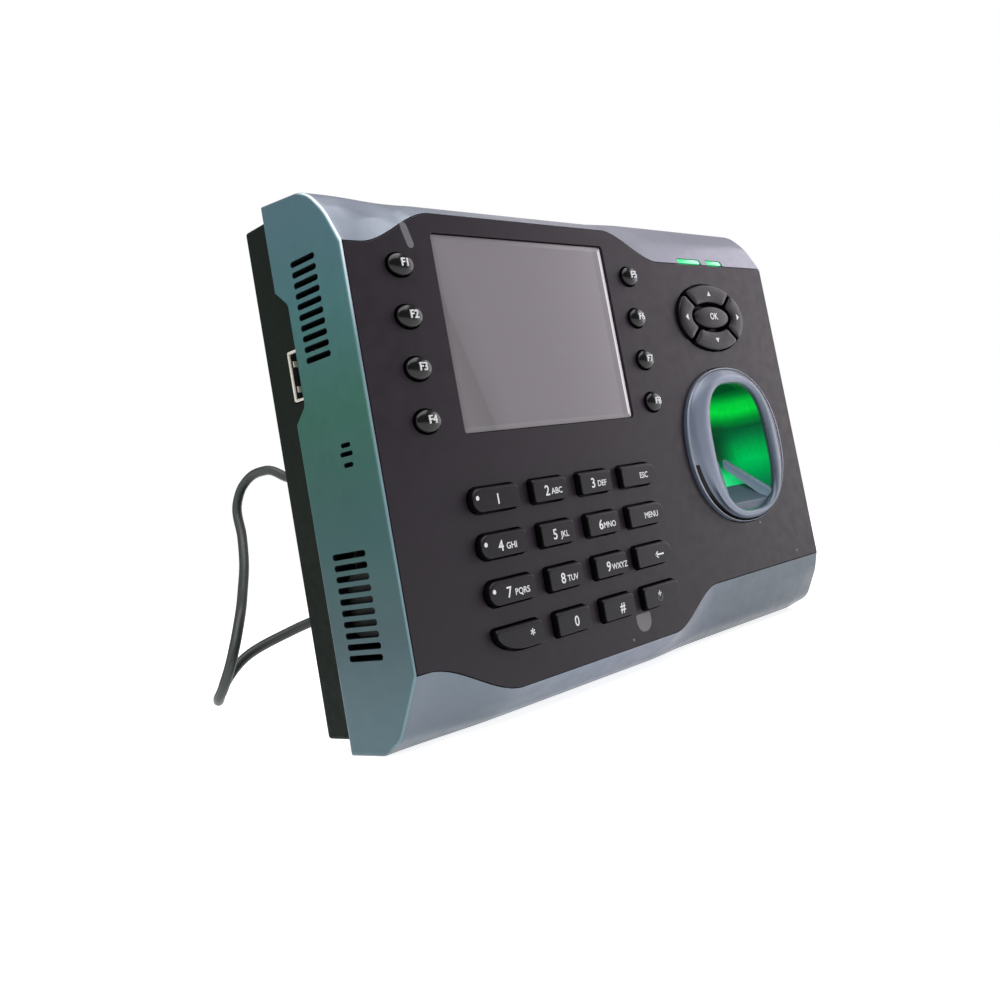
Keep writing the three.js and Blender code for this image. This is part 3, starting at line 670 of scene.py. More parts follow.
def lettering(text, x, z, size, y, thick=0.04):
    """Raised print that reads from the front."""
    curve = bpy.data.curves.new("legend", "FONT")
    curve.body = text
    curve.size = size
    curve.align_x = "CENTER"
    curve.align_y = "CENTER"
    curve.extrude = thick / 2
    curve.offset = 0.012 * size
    curve.resolution_u = 3
    return paint(stood_up("legend", curve, x, y, z), "legend_white")


def block(name, low, high, edge=0.3, steps=3):
    """A box with rolled edges, between two corners in unit millimetres."""
    (x0, y0, z0), (x1, y1, z1) = low, high

    def outline(grow):
        return cornered(x0, x1, z0, z1, [(edge, edge)] * 4, grow, steps)

    middle = (y0 + y1) / 2
    towards_front = edge_levels(outline, middle, y0, edge, steps)
    towards_back = edge_levels(outline, middle, y1, edge, steps)
    return stack(name, list(reversed(towards_front)) + towards_back[1:])


def lathe(name, profile, centre, axis="y", steps=40, angle=32):
    """A turned body from (radius, place along the axis) pairs."""
    turn = np.linspace(0, 2 * np.pi, steps, endpoint=False)
    rings = []
    for radius, along in profile:
        u, v = radius * np.cos(turn), radius * np.sin(turn)
        flat = np.full(steps, float(along))
        columns = {"x": (flat, u, v), "y": (u, flat, v), "z": (u, v, flat)}[axis]
        rings.append(np.stack(columns, 1) + np.asarray(centre, float))
    return body_of(name, rings, angle=angle)


# ---------- cord: it comes first, because its spread is tested against the camera ----------
GAP = 0.3
CORD_DIAMETER = 3
CORD_ROUTE = [
    (29, 60.8, 74), (28.9, 65.5, 74), (27.1, 75.5, 76.2), (25, 83.7, 80.1), (22.6, 88.2, 79.4),
    (20.3, 90.9, 76.5), (18.4, 92, 72.1), (15.6, 88.2, 61.1), (11.8, 83.2, 54.1), (3.8, 73.7, 45.6),
    (-5.6, 63, 37.6), (-10, 60, 31.6), (-12.3, 60.1, 26.6), (-13.4, 62.2, 22.4), (-13.1, 66.4, 18.9),
    (-10.8, 70.9, 17.5), (-7.4, 75.4, 18.3), (-3.2, 78.9, 20.7), (5.7, 81.1, 26.1), (16.8, 76.6, 30.2),
    (28.6, 63.8, 33.2), (35.8, 50.2, 28.6), (36.5, 43, 21.5), (36.5, 40.3, 14.5), (36.5, 40.8, 6.5),
    (36.5, 42.5, 3.9), (36.8, 48.2, 1.6), (39.2, 53.9, 1.6), (45, 56.4, 1.6), (54, 55.3, 1.6),
    (66, 51.9, 1.6), (79.5, 50.75, 1.6),
]
TAIL_ROUTE = [
    (106.5, 51.3, 5.2), (111.5, 52.7, 6.3), (116.5, 54.9, 7.9), (121, 56.9, 9.2), (124.7, 57.6, 9.6),
]


def gone(part, start, end):
    """How far a part of a turn has gone from start to end, from 0 to 1."""
    return min(max((part - start) / (end - start), 0), 1)


def coil_turns():
    """Four turns inwards on the table, then four outwards on top of them."""
    low, high = limits("cord_coil")
    centre = (low + high) / 2
    outer = (high[0] - low[0]) / 2 - CORD_DIAMETER / 2
    layers = (low[2] + CORD_DIAMETER / 2, high[2] - CORD_DIAMETER / 2)
    per_turn = 16
    turns = 4
    points = []
    for i in range(1, 2 * turns * per_turn - 1):
        turn, part = divmod(i / per_turn, 1)
        if turn < turns:
            step_in = gone(part, 0.83, 1) if turn < turns - 1 else 0
            radius = outer - CORD_DIAMETER * (turn + step_in)
            climb = gone(part, 0.8, 1) if turn == turns - 1 else 0
            height = mix(*layers, climb)
        else:
            step_out = gone(part, 0.6, 0.78) if turn < 2 * turns - 1 else 0
            radius = outer - CORD_DIAMETER * (2 * turns - 1 - turn - step_out)
            height = layers[1]
        angle = -math.pi / 2 + 2 * math.pi * part
        points.append((centre[0] + radius * math.cos(angle), centre[1] + radius * math.sin(angle), height))
    return points


def power_cord():
    """The lead as one smooth tube, whose bends don't leave the box of its route."""
    curve = bpy.data.curves.new("power_cord", "CURVE")
    curve.dimensions = "3D"
    curve.bevel_depth = (CORD_DIAMETER / 2 - 0.03) * MM
    curve.bevel_resolution = 4
    curve.resolution_u = 8
    curve.use_fill_caps = True
    route = metres(CORD_ROUTE + coil_turns() + TAIL_ROUTE)
    spline = curve.splines.new("BEZIER")
    spline.bezier_points.add(len(route) - 1)
    low, high = route.min(0), route.max(0)
    for i, point in enumerate(spline.bezier_points):
        back = route[i] - route[max(i - 1, 0)]
        ahead = route[min(i + 1, len(route) - 1)] - route[i]
        back_length, ahead_length = np.linalg.norm(back), np.linalg.norm(ahead)
        along = back / max(back_length, MM) * ahead_length + ahead / max(ahead_length, MM) * back_length
        if i in (0, len(route) - 1):
            along = back + ahead
        along /= np.linalg.norm(along)
        point.handle_left_type = point.handle_right_type = "FREE"
        point.co = route[i]
        point.handle_left = np.clip(route[i] - along * back_length / 3, low, high)
        point.handle_right = np.clip(route[i] + along * ahead_length / 3, low, high)
    return to_object("power_cord.fine", curve)


cord = paint(power_cord(), "cord_black")
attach(cord, "root")
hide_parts("power_cord", "cord_coil", "cord_tail")


def power_plug():
    """The barrel, the grip with finger rings, and the tapered relief with its bending slots."""
    low, high = limits("power_plug")
    centre = ((low[0] + high[0]) / 2, 0, (low[2] + high[2]) / 2)
    start, end = low[1], high[1]
    face = start + 9.3
    grip = (high[0] - low[0]) / 2
    barrel = lathe("barrel", [(2.1, start), (2.6, start + 0.5), (2.7, face - 0.2), (2.2, face)], centre)
    profile = [(2.9, face), (grip - 0.5, face + 0.02), (grip - 0.1, face + 0.4), (grip, face + 0.9)]
    for i in range(5):
        rib = face + 2 + 1.5 * i
        profile += [(grip, rib), (grip - 0.35, rib + 0.35), (grip - 0.35, rib + 0.75), (grip, rib + 1.1)]
    profile += [(grip - 0.2, end - 7.2), (3.7, end - 6)]
    for i in range(4):
        ring = end - 5.4 + 1.3 * i
        radius = 3.3 - 0.25 * i
        profile += [(radius, ring), (radius - 0.05, ring + 0.7)]
        profile += [(radius - 0.6, ring + 0.8), (radius - 0.6, ring + 1.15)]
    profile += [(2.2, end - 0.1), (1.6, end)]
    body = lathe("overmould", profile, centre, angle=25)
    return joined("power_plug", [paint(barrel, "steel"), paint(body, "cord_black")])


def rounded_box(name, low, high, corner, edge, taper=0.0):
    """A box standing on Z with round corners, and rolled edges at its foot and its top."""
    (x0, y0, z0), (x1, y1, z1) = low, high
    turns = quarter(6)
    foot = [(z0 + edge * (1 - math.sin(turn)), -edge * (1 - math.cos(turn))) for turn in reversed(turns)]
    head = [(z1 - edge * (1 - math.sin(turn)), -taper - edge * (1 - math.cos(turn))) for turn in turns]
    levels = []
    for z, grow in foot + head:
        flat = cornered(x0, x1, y0, y1, [(corner, corner)] * 4, grow)
        levels.append(np.column_stack([flat, np.full(len(flat), z)]))
    return body_of(name, levels)


def power_adapter():
    """Two half shells with a seam, the core that shows in it, and the lead's bush."""
    low, high = limits("power_adapter")
    left = low[0] + 3
    seam = high[2] * 0.55
    shells = [
        rounded_box("lower", (left, low[1], 0), (*high[:2], seam - 0.15), 5, 0.5),
        rounded_box("upper", (left + 0.2, low[1] + 0.2, seam + 0.15), high - (0.2, 0.2, 0), 5, 1.6, 0.3),
        rounded_box("core", (left + 1, low[1] + 1, 1), high - 1, 4.5, 0.4),
    ]
    lead_y, lead_z = TAIL_ROUTE[-1][1:]
    bush = lathe("bush", [
        (3.1, left + 0.5), (3.3, left), (3.2, left - 0.5), (2.7, left - 0.6), (2.7, left - 1),
        (3.0, left - 1.1), (2.9, left - 1.7), (2.4, left - 1.8), (2.4, left - 2.2), (2.6, left - 2.3),
        (2.4, left - 2.9), (1.7, left - 3),
    ], (0, lead_y, lead_z), axis="x", angle=25)
    return joined("power_adapter", [paint(part, "adapter_black") for part in (*shells, bush)])


def blade(node):
    """A flat adapter blade with a chamfered tip and its hole."""
    low, high = limits(node)
    middle = (low[1] + high[1]) / 2
    half = (high[1] - low[1]) / 2
    outline = [
        (middle - half, low[2]), (middle + half, low[2]), (middle + half, high[2] - 1.6),
        (middle + half - 1.3, high[2]), (middle - half + 1.3, high[2]), (middle - half, high[2] - 1.6),
    ]
    section = rounded_polygon(outline, [0.2] * 6, 3)
    stations = [(low[0], 0.25), (low[0] + 0.25, 0), (high[0] - 0.25, 0), (high[0], 0.25)]
    hole_place = (0, middle, high[2] - 4.2)
    hole = lathe("hole", [(1.5, low[0] - 1), (1.5, high[0] + 1)], hole_place, axis="x", steps=24)
    return tidy(carve(bar(node, section, stations, half), [hole]))


def cord_tie():
    """A flat strap round the turns, its ends overlapping on top."""
    low, high = limits("cord_tie")
    y0, y1 = low[1] + 0.4, high[1] - 0.4
    outer = np.array(cornered(low[0], high[0], 0.02, high[2], [(1.2, 1.2)] * 4, 0, 5))
    inner = np.array(cornered(low[0] + 0.8, high[0] - 0.8, 0.1, high[2] - 0.8, [(0.8, 0.8)] * 4, 0, 5))
    levels = [(y0, outer), (y1, outer), (y1, inner), (y0, inner)]
    strap = body_of("strap", [at_depth(outline, y) for y, outline in levels], closed=True)
    foot, tip = (low[0] + 3, y0 + 0.3, high[2] - 0.55), (low[0] + 9, y1 - 0.3, high[2] - 0.05)
    return joined("cord_tie", [paint(part, "tie_black") for part in (strap, block("tongue", foot, tip, 0.2))])


plug = present(power_plug(), "power_plug")
present(power_adapter(), "power_adapter")
tie = present(cord_tie(), "cord_tie")
for node in ("adapter_pin_left", "adapter_pin_right"):
    present(paint(blade(node), "steel"), node)


# ---------- front shell ----------
WIDTH, _, HEIGHT = limits("front_shell")[1]
SHELL_BACK = limits("front_shell")[1][1]
PANEL = limits("front_panel")
RIM = PANEL[0][0]
PANEL_BACK = PANEL[1][1]
PANEL_TOP_LOW = 126.6
PANEL_BOTTOM_HIGH = 19.4
TOP_FRONT = 143.6
WALL = 2.2


def smooth(x, start, end):
    t = np.clip((np.asarray(x, float) - start) / (end - start), 0, 1)
    return t * t * (3 - 2 * t)


def top_swell(x):
    return smooth(x, 6, 32) - smooth(x, 106, 133)


def bottom_swell(x):
    return smooth(x, 4, 36) - smooth(x, 105, 131)


def panel_top(x):
    return mix(PANEL_TOP_LOW, PANEL[1][2], top_swell(x))


def panel_bottom(x):
    return mix(PANEL_BOTTOM_HIGH, PANEL[0][2], bottom_swell(x))


def shell_section(x, inset_y, inset_z):
    """The housing's outline across X, pulled in by the insets, as (y, z)."""
    top, bottom, right = top_swell(x), bottom_swell(x), smooth(x, 131, WIDTH)
    corners = [
        (0, panel_bottom(x), 0.25),
        (0, panel_top(x), 0.25),
        (mix(4.5, 5.5, top), mix(136.1, panel_top(x) + 3.8, top), 20),
        (mix(9.6, 13, top), mix(141.7, 142.4, top), 20),
        (mix(13.5, 16.4, top), TOP_FRONT, 20),
        (SHELL_BACK, HEIGHT, 0.3),
        (SHELL_BACK, 0, 0.3),
        (mix(17, 14.5, bottom), 0, 4),
        (mix(mix(9.8, 7.6, right), 10.3, bottom), mix(mix(3.6, 3.7, right), 1.8, bottom), 8),
        (mix(mix(4.7, 2.1, right), 5, bottom), mix(mix(11.6, 13.2, right), 5.1, bottom), 14),
    ]
    centre = np.array([SHELL_BACK / 2, HEIGHT / 2])
    scale = 1 - np.array([inset_y, inset_z]) / centre
    points = [centre + (np.array(corner[:2]) - centre) * scale for corner in corners]
    return rounded_polygon(points, [corner[2] for corner in corners], 5)


def shell_stations():
    """X stations: close together at the rolled ends and where the outline swells."""
    turns = np.linspace(math.pi / 2, 0, 7)
    left = [(0.8 * (1 - math.sin(t)), 1.1 * (1 - math.cos(t)), 1.1 * (1 - math.cos(t))) for t in turns]
    right = [(WIDTH - (1 - math.sin(t)), 0.8 * (1 - math.cos(t)), 1 - math.cos(t)) for t in turns[::-1]]
    middle = sorted({
        *np.arange(2, 40, 1.0), *np.arange(40, 100, 10.0), *np.arange(100, 136, 1.0),
        *np.arange(140, 196, 8.0),
    })
    return left + [(x, 0, 0) for x in middle] + right


def panel_outline(inset, step=1.0):
    """The panel's outline, with rounded corners at its right end."""
    start, end, round_off = RIM + inset, WIDTH - RIM - inset, 1.6
    turns = np.linspace(0, math.pi / 2, 8)
    xs = np.concatenate(
        [np.arange(start, end - round_off, step), end - round_off + round_off * np.sin(turns)]
    )
    lift = np.concatenate([np.zeros(len(xs) - 8), round_off * (1 - np.cos(turns))])
    low = np.stack([xs, panel_bottom(xs) + inset + lift], 1)
    high = np.stack([xs, panel_top(xs) - inset - lift], 1)[::-1]
    return np.vstack([low, high])


def prism(name, outline, front, back):
    return stack(name, [(front, outline), (back, outline)])


def prism_x(name, outline, x0, x1):
    return body_of(name, [at_side(outline, x) for x in (x0, x1)])


# How many slots, the height of the top one, their pitch, and where they start and end in depth.
VENT_ROWS = [(10, 126.3, 2.82, 11.1, 21.3), (10, 50.2, 2.86, 10.9, 24.1)]
VENT_HEIGHT = 1.4
SHORT_SLOTS = [(9.6, 13.2, 77.3), (9.2, 14, 75.1), (9.7, 13.2, 72.3)]


def slot_cutter(front, back, z, height):
    """A round-ended slot through the left wall, chamfered where it opens."""
    radius = height / 2
    return [
        at_side(cornered(front, back, z - radius, z + radius, [(radius, radius)] * 4, grow, 4), x)
        for x, grow in ((-1, 0.12), (0, 0.12), (0.12, 0), (WALL + 1, 0))
    ]


def vents():
    slots = [slot_cutter(front, back, z, 1.0) for front, back, z in SHORT_SLOTS]
    for count, top, pitch, front, back in VENT_ROWS:
        slots += [slot_cutter(front, back, top - i * pitch, VENT_HEIGHT) for i in range(count)]
    points, faces = [], []
    for rings in slots:
        ring_points, ring_faces = loft(rings)
        offset = sum(len(p) for p in points)
        points.append(ring_points)
        faces += [tuple(offset + i for i in face) for face in ring_faces]
    return tidy(mesh_object("vents", np.vstack(points), faces))


def in_vent(face):
    """Whether a face of the shell is a wall of one of the vents or short slots."""
    x, y, z = (np.array(face.center) - ORIGIN) / MM
    if not 0.02 < x < WALL - 0.01 or not 8 < y < 25 or abs(face.normal.x) > 0.8:
        return False
    rows = [(top - (count - 1) * pitch, top) for count, top, pitch, _, _ in VENT_ROWS]
    rows.append((SHORT_SLOTS[-1][2], SHORT_SLOTS[0][2]))
    return any(low - 1 < z < high + 1 for low, high in rows)


LIGHTS = ("status_light_left", "status_light_right")
NOTCH = [(25.2, 90), (25.2, 117), (30, 121.4), (33, 121.4), (33, 85.6), (30, 85.6)]
NOTCH_ROUNDING = [2.6, 2.6, 2.2, 0.1, 0.1, 2.2]
CAVITY = [(6, 24), (6, 121), (14, 139.8), (16, 141.2), (33, 141.2), (33, 2.4), (16, 2.4), (14, 5)]


def front_shell():
    """The housing's front half, with its pocket, opening, hollow, notch, vents and light slots."""
    sections = [at_side(shell_section(*station), station[0]) for station in shell_stations()]
    outer = body_of("front_shell", sections)
    pocket = prism("pocket", panel_outline(-GAP), -5, PANEL_BACK + GAP)
    opening = prism("opening", panel_outline(3), PANEL_BACK - 1, 14)
    cavity = prism_x("cavity", CAVITY, WALL, WIDTH - WALL)
    notch = prism_x("notch", rounded_polygon(NOTCH, NOTCH_ROUNDING), -1, WALL + 1)
    slots = []
    for node in LIGHTS:
        low, high = limits(node)
        ring = cornered(low[0] - GAP, high[0] + GAP, low[2] - 0.6, high[2] + 0.25, [(0.5, 0.5)] * 4, 0, 4)
        slots.append(prism("slot", ring, -1, 12))
    shell = tidy(carve(outer, [pocket, opening, cavity, notch, *slots, vents()]), 28)
    # The walls of the vents and short slots get painted shade.
    return paint_where(paint(shell, "silver_paint"), "vent_painted_shade", in_vent)


present(front_shell(), "front_shell")


def status_light(node):
    """A light pipe whose face follows the slope that it shines out of."""
    low, high = limits(node)
    corners = [(low[1], low[2]), (low[1] + 0.7, high[2]), (high[1], high[2]), (high[1], low[2])]
    ends = [(0, 0.4), (0.15, 0.12), (0.5, 0)]
    stations = [(low[0] + reach, inset) for reach, inset in ends]
    stations += [(high[0] - reach, inset) for reach, inset in reversed(ends)]
    return bar(node, rounded_polygon(corners, [0.3] * 4, 4), stations)


for node in LIGHTS:
    present(paint(status_light(node), "light_green"), node)


# ---------- keys ----------
FLANGE = (2.8, 3.8)
LIP = 0.9
SHOULDER = -1.0
PROUD = 2
SQUARE = (0.9, 0.9)
ROUND = (3.2, 3.2)
LEAF = (11, 5.4)
COLUMNS = [
    (27.1, 44.7, [ROUND, SQUARE, SQUARE, ROUND]),
    (50.6, 64.5, [SQUARE] * 4),
    (70.7, 84.8, [SQUARE] * 4),
    (90.1, 107.4, [SQUARE, ROUND, ROUND, SQUARE]),
]
ROWS = (58, 45.8, 33.6, 21.4)
HALF_KEY = 3.25
KEYPAD = [
    [("key_1", "1", ""), ("key_2", "2", "ABC"), ("key_3", "3", "DEF"), ("key_esc", "", "ESC")],
    [("key_4", "4", "GHI"), ("key_5", "5", "JKL"), ("key_6", "6", "MNO"), ("key_menu", "", "MENU")],
    [("key_7", "7", "PQRS"), ("key_8", "8", "TUV"), ("key_9", "9", "WXYZ"), ("key_dash", "", "<")],
    [("key_star", "*", ""), ("key_0", "0", ""), ("key_hash", "#", ""), ("key_power", "", "o")],
]


def keypad_outline(name, row, column, grow=0.0, top_drop=0.0):
    left, right, corners = COLUMNS[column]
    corners = {
        "key_star": [LEAF, SQUARE, SQUARE, SQUARE],
        "key_power": [SQUARE, LEAF, SQUARE, SQUARE],
    }.get(name, corners)
    bottom = ROWS[row] - HALF_KEY
    top = ROWS[row] + HALF_KEY
    ring = cornered(left, right, bottom, top, corners, grow)
    if top_drop:
        share = (ring[:, 1] - ring[:, 1].min()) / np.ptp(ring[:, 1])
        ring[:, 1] -= top_drop * share
    return ring


def flange(wide, narrow):
    """The levels of a key's flange, which ends where its cap begins."""
    return [(FLANGE[1], wide), (FLANGE[0], wide), (FLANGE[0], narrow)]


def key_paint(item, lean):
    """Black on the face and its edge, and painted shade on what leans away from the front."""
    return paint_where(paint(item, "key_black"), "key_wall_painted_shade", lambda part: part.normal.y > lean)


def key_body(name, side, face):
    """A cap on its flange, whose edge is rolled from its side outline to its face outline."""
    levels = flange(side(LIP), side(0))
    for turn in quarter(6):
        levels.append((mix(SHOULDER, -PROUD, math.sin(turn)), mix(face, side(0), math.cos(turn))))
    return key_paint(stack(name, levels), -0.45)


def dot(x, z, radius, y, material="legend_white"):
    ring = ellipse(x, z, radius, radius, 20)
    return paint(stack("dot", [(y + 0.15, ring), (y - 0.03, ring)]), material)


def stroke(points, width, y):
    """A printed line through (x, z) points."""
    points = [np.array(point, float) for point in points]
    parts = []
    for start, end in zip(points, points[1:]):
        along = (end - start) / np.linalg.norm(end - start)
        across = np.array([-along[1], along[0]]) * width / 2
        ring = [start - across - along * width / 2, end - across + along * width / 2,
                end + across + along * width / 2, start + across - along * width / 2]
        parts.append(paint(stack("stroke", [(y + 0.04, ring), (y, ring)]), "legend_white"))
    return parts


def keypad_legend(name, digit, letters, row, column):
    """The print on a keypad key: a sign, or a digit and letters, with a dot on three of the keys."""
    left, right, _ = COLUMNS[column]
    z = ROWS[row] - 0.45
    y = -PROUD - 0.01
    middle = (left + right) / 2
    if name == "key_dash":
        head = [(100, z + 0.8), (99, z), (100, z - 0.8)]
        return stroke([(99, z), (102.8, z)], 0.5, y) + stroke(head, 0.4, y)
    if name == "key_power":
        turn = np.linspace(math.radians(120), math.radians(420), 15)
        ring = [(97.4 + 1.1 * math.cos(t), z + 1.1 * math.sin(t)) for t in turn]
        return stroke(ring, 0.4, y) + stroke([(97.4, z + 0.3), (97.4, z + 1.5)], 0.4, y)
    parts = []
    if digit:
        place = {"key_1": 36.4, "key_star": 40.3, "key_0": 58.3, "key_hash": 78.9}.get(name, middle - 1.6)
        parts.append(lettering(digit, place, z, 4.0, y))
        if letters:
            parts.append(lettering(letters, place + 1.0 + 1.0 * len(letters), z - 0.3, 2.4, y))
    elif letters:
        parts.append(lettering(letters, middle + 1.9, z, 2.5, y))
    if name in ("key_1", "key_4", "key_7"):
        parts.append(dot(28.9, ROWS[row] + 0.6, 0.6, -PROUD))
    return parts


def keypad_key(name, digit, letters, row, column):
    """A keypad key with its print, its face a little lower at the top than its side."""
    def side(grow):
        return keypad_outline(name, row, column, grow)

    cap = key_body(name, side, keypad_outline(name, row, column, -0.3, 0.75))
    return joined(name, [cap, *keypad_legend(name, digit, letters, row, column)])


for row, keys in enumerate(KEYPAD):
    for column, (name, digit, letters) in enumerate(keys):
        present(keypad_key(name, digit, letters, row, column), name, body=name)

FUNCTION_ROWS = (121.05, 107.35, 93.65, 79.95)
FUNCTION_KEYS = [
    *[(f"key_f{i + 1}", 17.9, z, 4.3, 3.0, f"F{i + 1}") for i, z in enumerate(FUNCTION_ROWS)],
    *[(f"key_side_{i + 1}", 115.0, z, 3.9, 3.0, f"F{i + 5}") for i, z in enumerate(FUNCTION_ROWS)],
]


def domed(name, outline, base, shoulder, crown, material):
    """A body under a low dome, from outline(scale) rings that shrink to its crown."""
    steps = 9
    smallest = 0.06
    levels = list(base)
    for s in range(steps + 1):
        turn = math.acos(smallest) * s / steps
        levels.append((mix(shoulder, crown, math.sin(turn)), outline(math.cos(turn))))
    return paint(stack(name, levels, angle=50), material)


def function_key(name, x, z, a, b, label):
    base = flange(ellipse(x, z, a + LIP, b + LIP), ellipse(x, z, a, b))
    dome = domed(name, lambda k: ellipse(x, z, a * k, b * k), base, -0.7, -PROUD, "button_black")
    legend = lettering(label, x + 0.4, z + 0.1, 3.0, -PROUD - 0.03, thick=0.5)
    return joined(name, [dome, legend])


for name, x, z, a, b, label in FUNCTION_KEYS:
    present(function_key(name, x, z, a, b, label), name, body=name)

NAV_X, NAV_Z = 157.8, 107.7
NAV_A, NAV_B = 19.7, 11.6
ARC_A, ARC_B = 12.2, 5.3
OK_A, OK_B = 10.4, 3.8
NAV_PROUD = 1.3


def arc_ring(middle, inset, grow=0.0):
    """A quarter of the oval ring between two diagonals, with soft corners, pulled in by inset."""
    width, depth = 26, NAV_B - ARC_B
    low, high = inset / depth, 1 - inset / depth
    half = 1 - inset / (width / 2)
    corner_v, corner_u = max(1.1 - inset, 0.15) / depth, max(1.1 - inset, 0.15) / (width / 2)
    unit_ring = cornered(-half, half, low, high, [(corner_u, corner_v)] * 4, 0, 5)
    fine = []
    for start, end in zip(unit_ring, np.roll(unit_ring, -1, axis=0)):
        pieces = 14 if abs(end[0] - start[0]) > 0.5 else 1
        fine += [start + (end - start) * i / pieces for i in range(pieces)]
    ring = []
    for u, v in fine:
        trim = mix(0.08, 0.045, v)
        t = middle + (math.pi / 4 - trim) * u
        a, b = mix(ARC_A, NAV_A, v) + grow * v, mix(ARC_B, NAV_B, v) + grow * v
        ring.append((NAV_X + a * math.cos(t), NAV_Z + b * math.sin(t)))
    return np.array(ring)


def arc_key(name, degrees):
    """One of the four arcs around the centre key, with its arrow."""
    middle = math.radians(degrees)
    levels = flange(arc_ring(middle, 0, 1.2), arc_ring(middle, 0))
    for y, inset in ((-0.75, 0), (-1.0, 0.07), (-1.2, 0.25), (-NAV_PROUD, 0.5), (-1.42, 1.3), (-1.5, 2.4)):
        levels.append((y, arc_ring(middle, inset)))
    body = key_paint(stack(name, levels), -0.5)
    reach = {0: (15.9, 0), 90: (0, 8.3), 180: (-15.9, 0), 270: (0, -8.3)}[degrees]
    out = np.array([math.cos(middle), math.sin(middle)])
    side = np.array([-out[1], out[0]])
    tip = np.array([NAV_X, NAV_Z]) + reach + out * 0.8
    triangle = [tip, tip - out * 1.6 + side * 1.1, tip - out * 1.6 - side * 1.1]
    arrow = paint(stack("arrow", [(-1.3, triangle), (-1.56, triangle)]), "legend_white")
    return joined(name, [body, arrow])


for name, degrees in (("key_right", 0), ("key_up", 90), ("key_left", 180), ("key_down", 270)):
    present(arc_key(name, degrees), name, body=name)

ok_base = [(FLANGE[1], ellipse(NAV_X, NAV_Z, OK_A, OK_B))]
ok_cap = domed(
    "key_ok", lambda k: ellipse(NAV_X, NAV_Z, OK_A * k, OK_B * k), ok_base, -0.9, -1.8, "key_black"
)
ok_key = joined("key_ok", [ok_cap, lettering("OK", NAV_X, NAV_Z, 3.2, -1.76, thick=0.3)])
present(ok_key, "key_ok", body="key_ok")


# ---------- reader ----------
READER_X, READER_Z = 158.7, 61.9
OUTER_RING = (157.7, 63, 28.8, 26.7, 2.15)
INNER_RING = (READER_X, READER_Z, 17.6, 22, 2.8)
THROAT = 0.94
RING_STEPS = 128


def ring_points(blend, grow=0.0):
    x, z, a, b, power = (mix(outer, inner, blend) for outer, inner in zip(OUTER_RING, INNER_RING))
    return superellipse(x, z, a + grow, b + grow, power, RING_STEPS)


def scanner_bezel():
    """An outer lip, a groove that opens out low on the left, and the crowned ring round the opening."""
    # The share of the way in and y along the section, then by how much both change down the left
    # side and where the groove is widest.
    section = [
        (0, 2.2), (0, -0.9), (0.006, -1.15), (0.02, -1.3), (0.05, -1.35), (0.066, -1.3), (0.076, -1.15),
        (0.082, -1.0, 0, 0.35, 0, 1.1), (0.1, -0.95, 0.02, 0.45, 0.08, 1.3),
        (0.115, -1.0, 0.08, 0.3, 0.18, 1.1), (0.13, -1.15, 0.1, 0.1, 0.24, 0.2),
        (0.15, -1.3, 0.12, -0.1, 0.25, 0), (0.19, -1.5, 0.12, -0.3, 0.23, -0.2),
        (0.28, -1.9, 0.08, -0.35, 0.17, -0.2), (0.4, -2.4, 0.04, -0.2, 0.08, 0), (0.5, -2.85),
        (0.58, -3.12), (0.66, -3.3), (0.76, -3.38), (0.86, -3.3), (0.93, -3.05), (0.975, -2.6),
        (0.995, -2.1), (1, -1.6), (0.985, 0), (THROAT, 2.2),
    ]
    lip, groove, throat = range(2, 6), range(7, 10), section.index((0.975, -2.6))
    turn = np.linspace(0, 2 * np.pi, RING_STEPS, endpoint=False)
    side = np.clip(np.cos(turn - math.radians(195)), 0, 1) ** 1.5
    widest = np.clip(np.cos(turn - math.radians(232)), 0, 1) ** 4
    rings = []
    for point in section:
        blend, y, side_blend, side_y, wide_blend, wide_y = (*point, 0, 0, 0, 0)[:6]
        shift = (side_blend * side + wide_blend * widest)[:, None]
        ring = ring_points(blend) + shift * (ring_points(1) - ring_points(0))
        rings.append(np.column_stack([ring[:, 0], y + side_y * side + wide_y * widest, ring[:, 1]]))
    body = paint(body_of("scanner_bezel", rings, closed=True, angle=40), "bezel_silver")
    for material in ("bezel_throat", "bezel_groove_painted_shade", "bezel_lip_painted_highlight"):
        body.data.materials.append(MATERIALS[material])
    for face in body.data.polygons:
        span, place = divmod(face.index, RING_STEPS)
        # The throat takes the darker copy with the painted glow.
        if span >= throat:
            face.material_index = 1
        # Painted shade in the widest part of the groove.
        elif span in groove and widest[place] > 0.25:
            face.material_index = 2
        # The outer lip gets a painted highlight.
        elif span in lip:
            face.material_index = 3
    return body


def finger_guide():
    """A sloping floor between two rails that close up towards the glass."""
    low = READER_Z - 22
    floor_section = rounded_polygon(
        [(-1.2, low - 2), (-1.2, low + 3), (5.8, low + 9.5), (5.8, low - 2)], [0.3, 1.2, 0.4, 0.3], 5
    )
    half = INNER_RING[2]
    parts = [(prism_x("floor", floor_section, READER_X - half, READER_X + half), "guide_floor")]
    for side in (-1, 1):
        rings = []
        for t in np.linspace(0, 1, 9):
            x0, x1 = mix(half - 3.6, 1.2, t), mix(half, 4, t)
            z0, z1 = mix(low - 1, low + 15.4, t), mix(low + 4, low + 18.6, t)
            ring = rounded_polygon([(x0, z0), (x1, z0), (x1, z1), (x0, z1)], [0.3, 0.3, 1.0, 2.2], 6)
            ring = np.column_stack([READER_X + side * ring[:, 0], ring[:, 1]])
            rings.append(at_depth(ring, mix(-2.8, 7.7, t)))
        parts.append((body_of("rail", rings), "guide_rail"))
    kept = []
    for part, material in parts:
        boundary = stack("boundary", [(-5, ring_points(1, -GAP)), (8, ring_points(1, -GAP))])
        kept.append(paint(tidy(combined(part, [boundary], "INTERSECT")), material))
    return joined("finger_guide", kept)


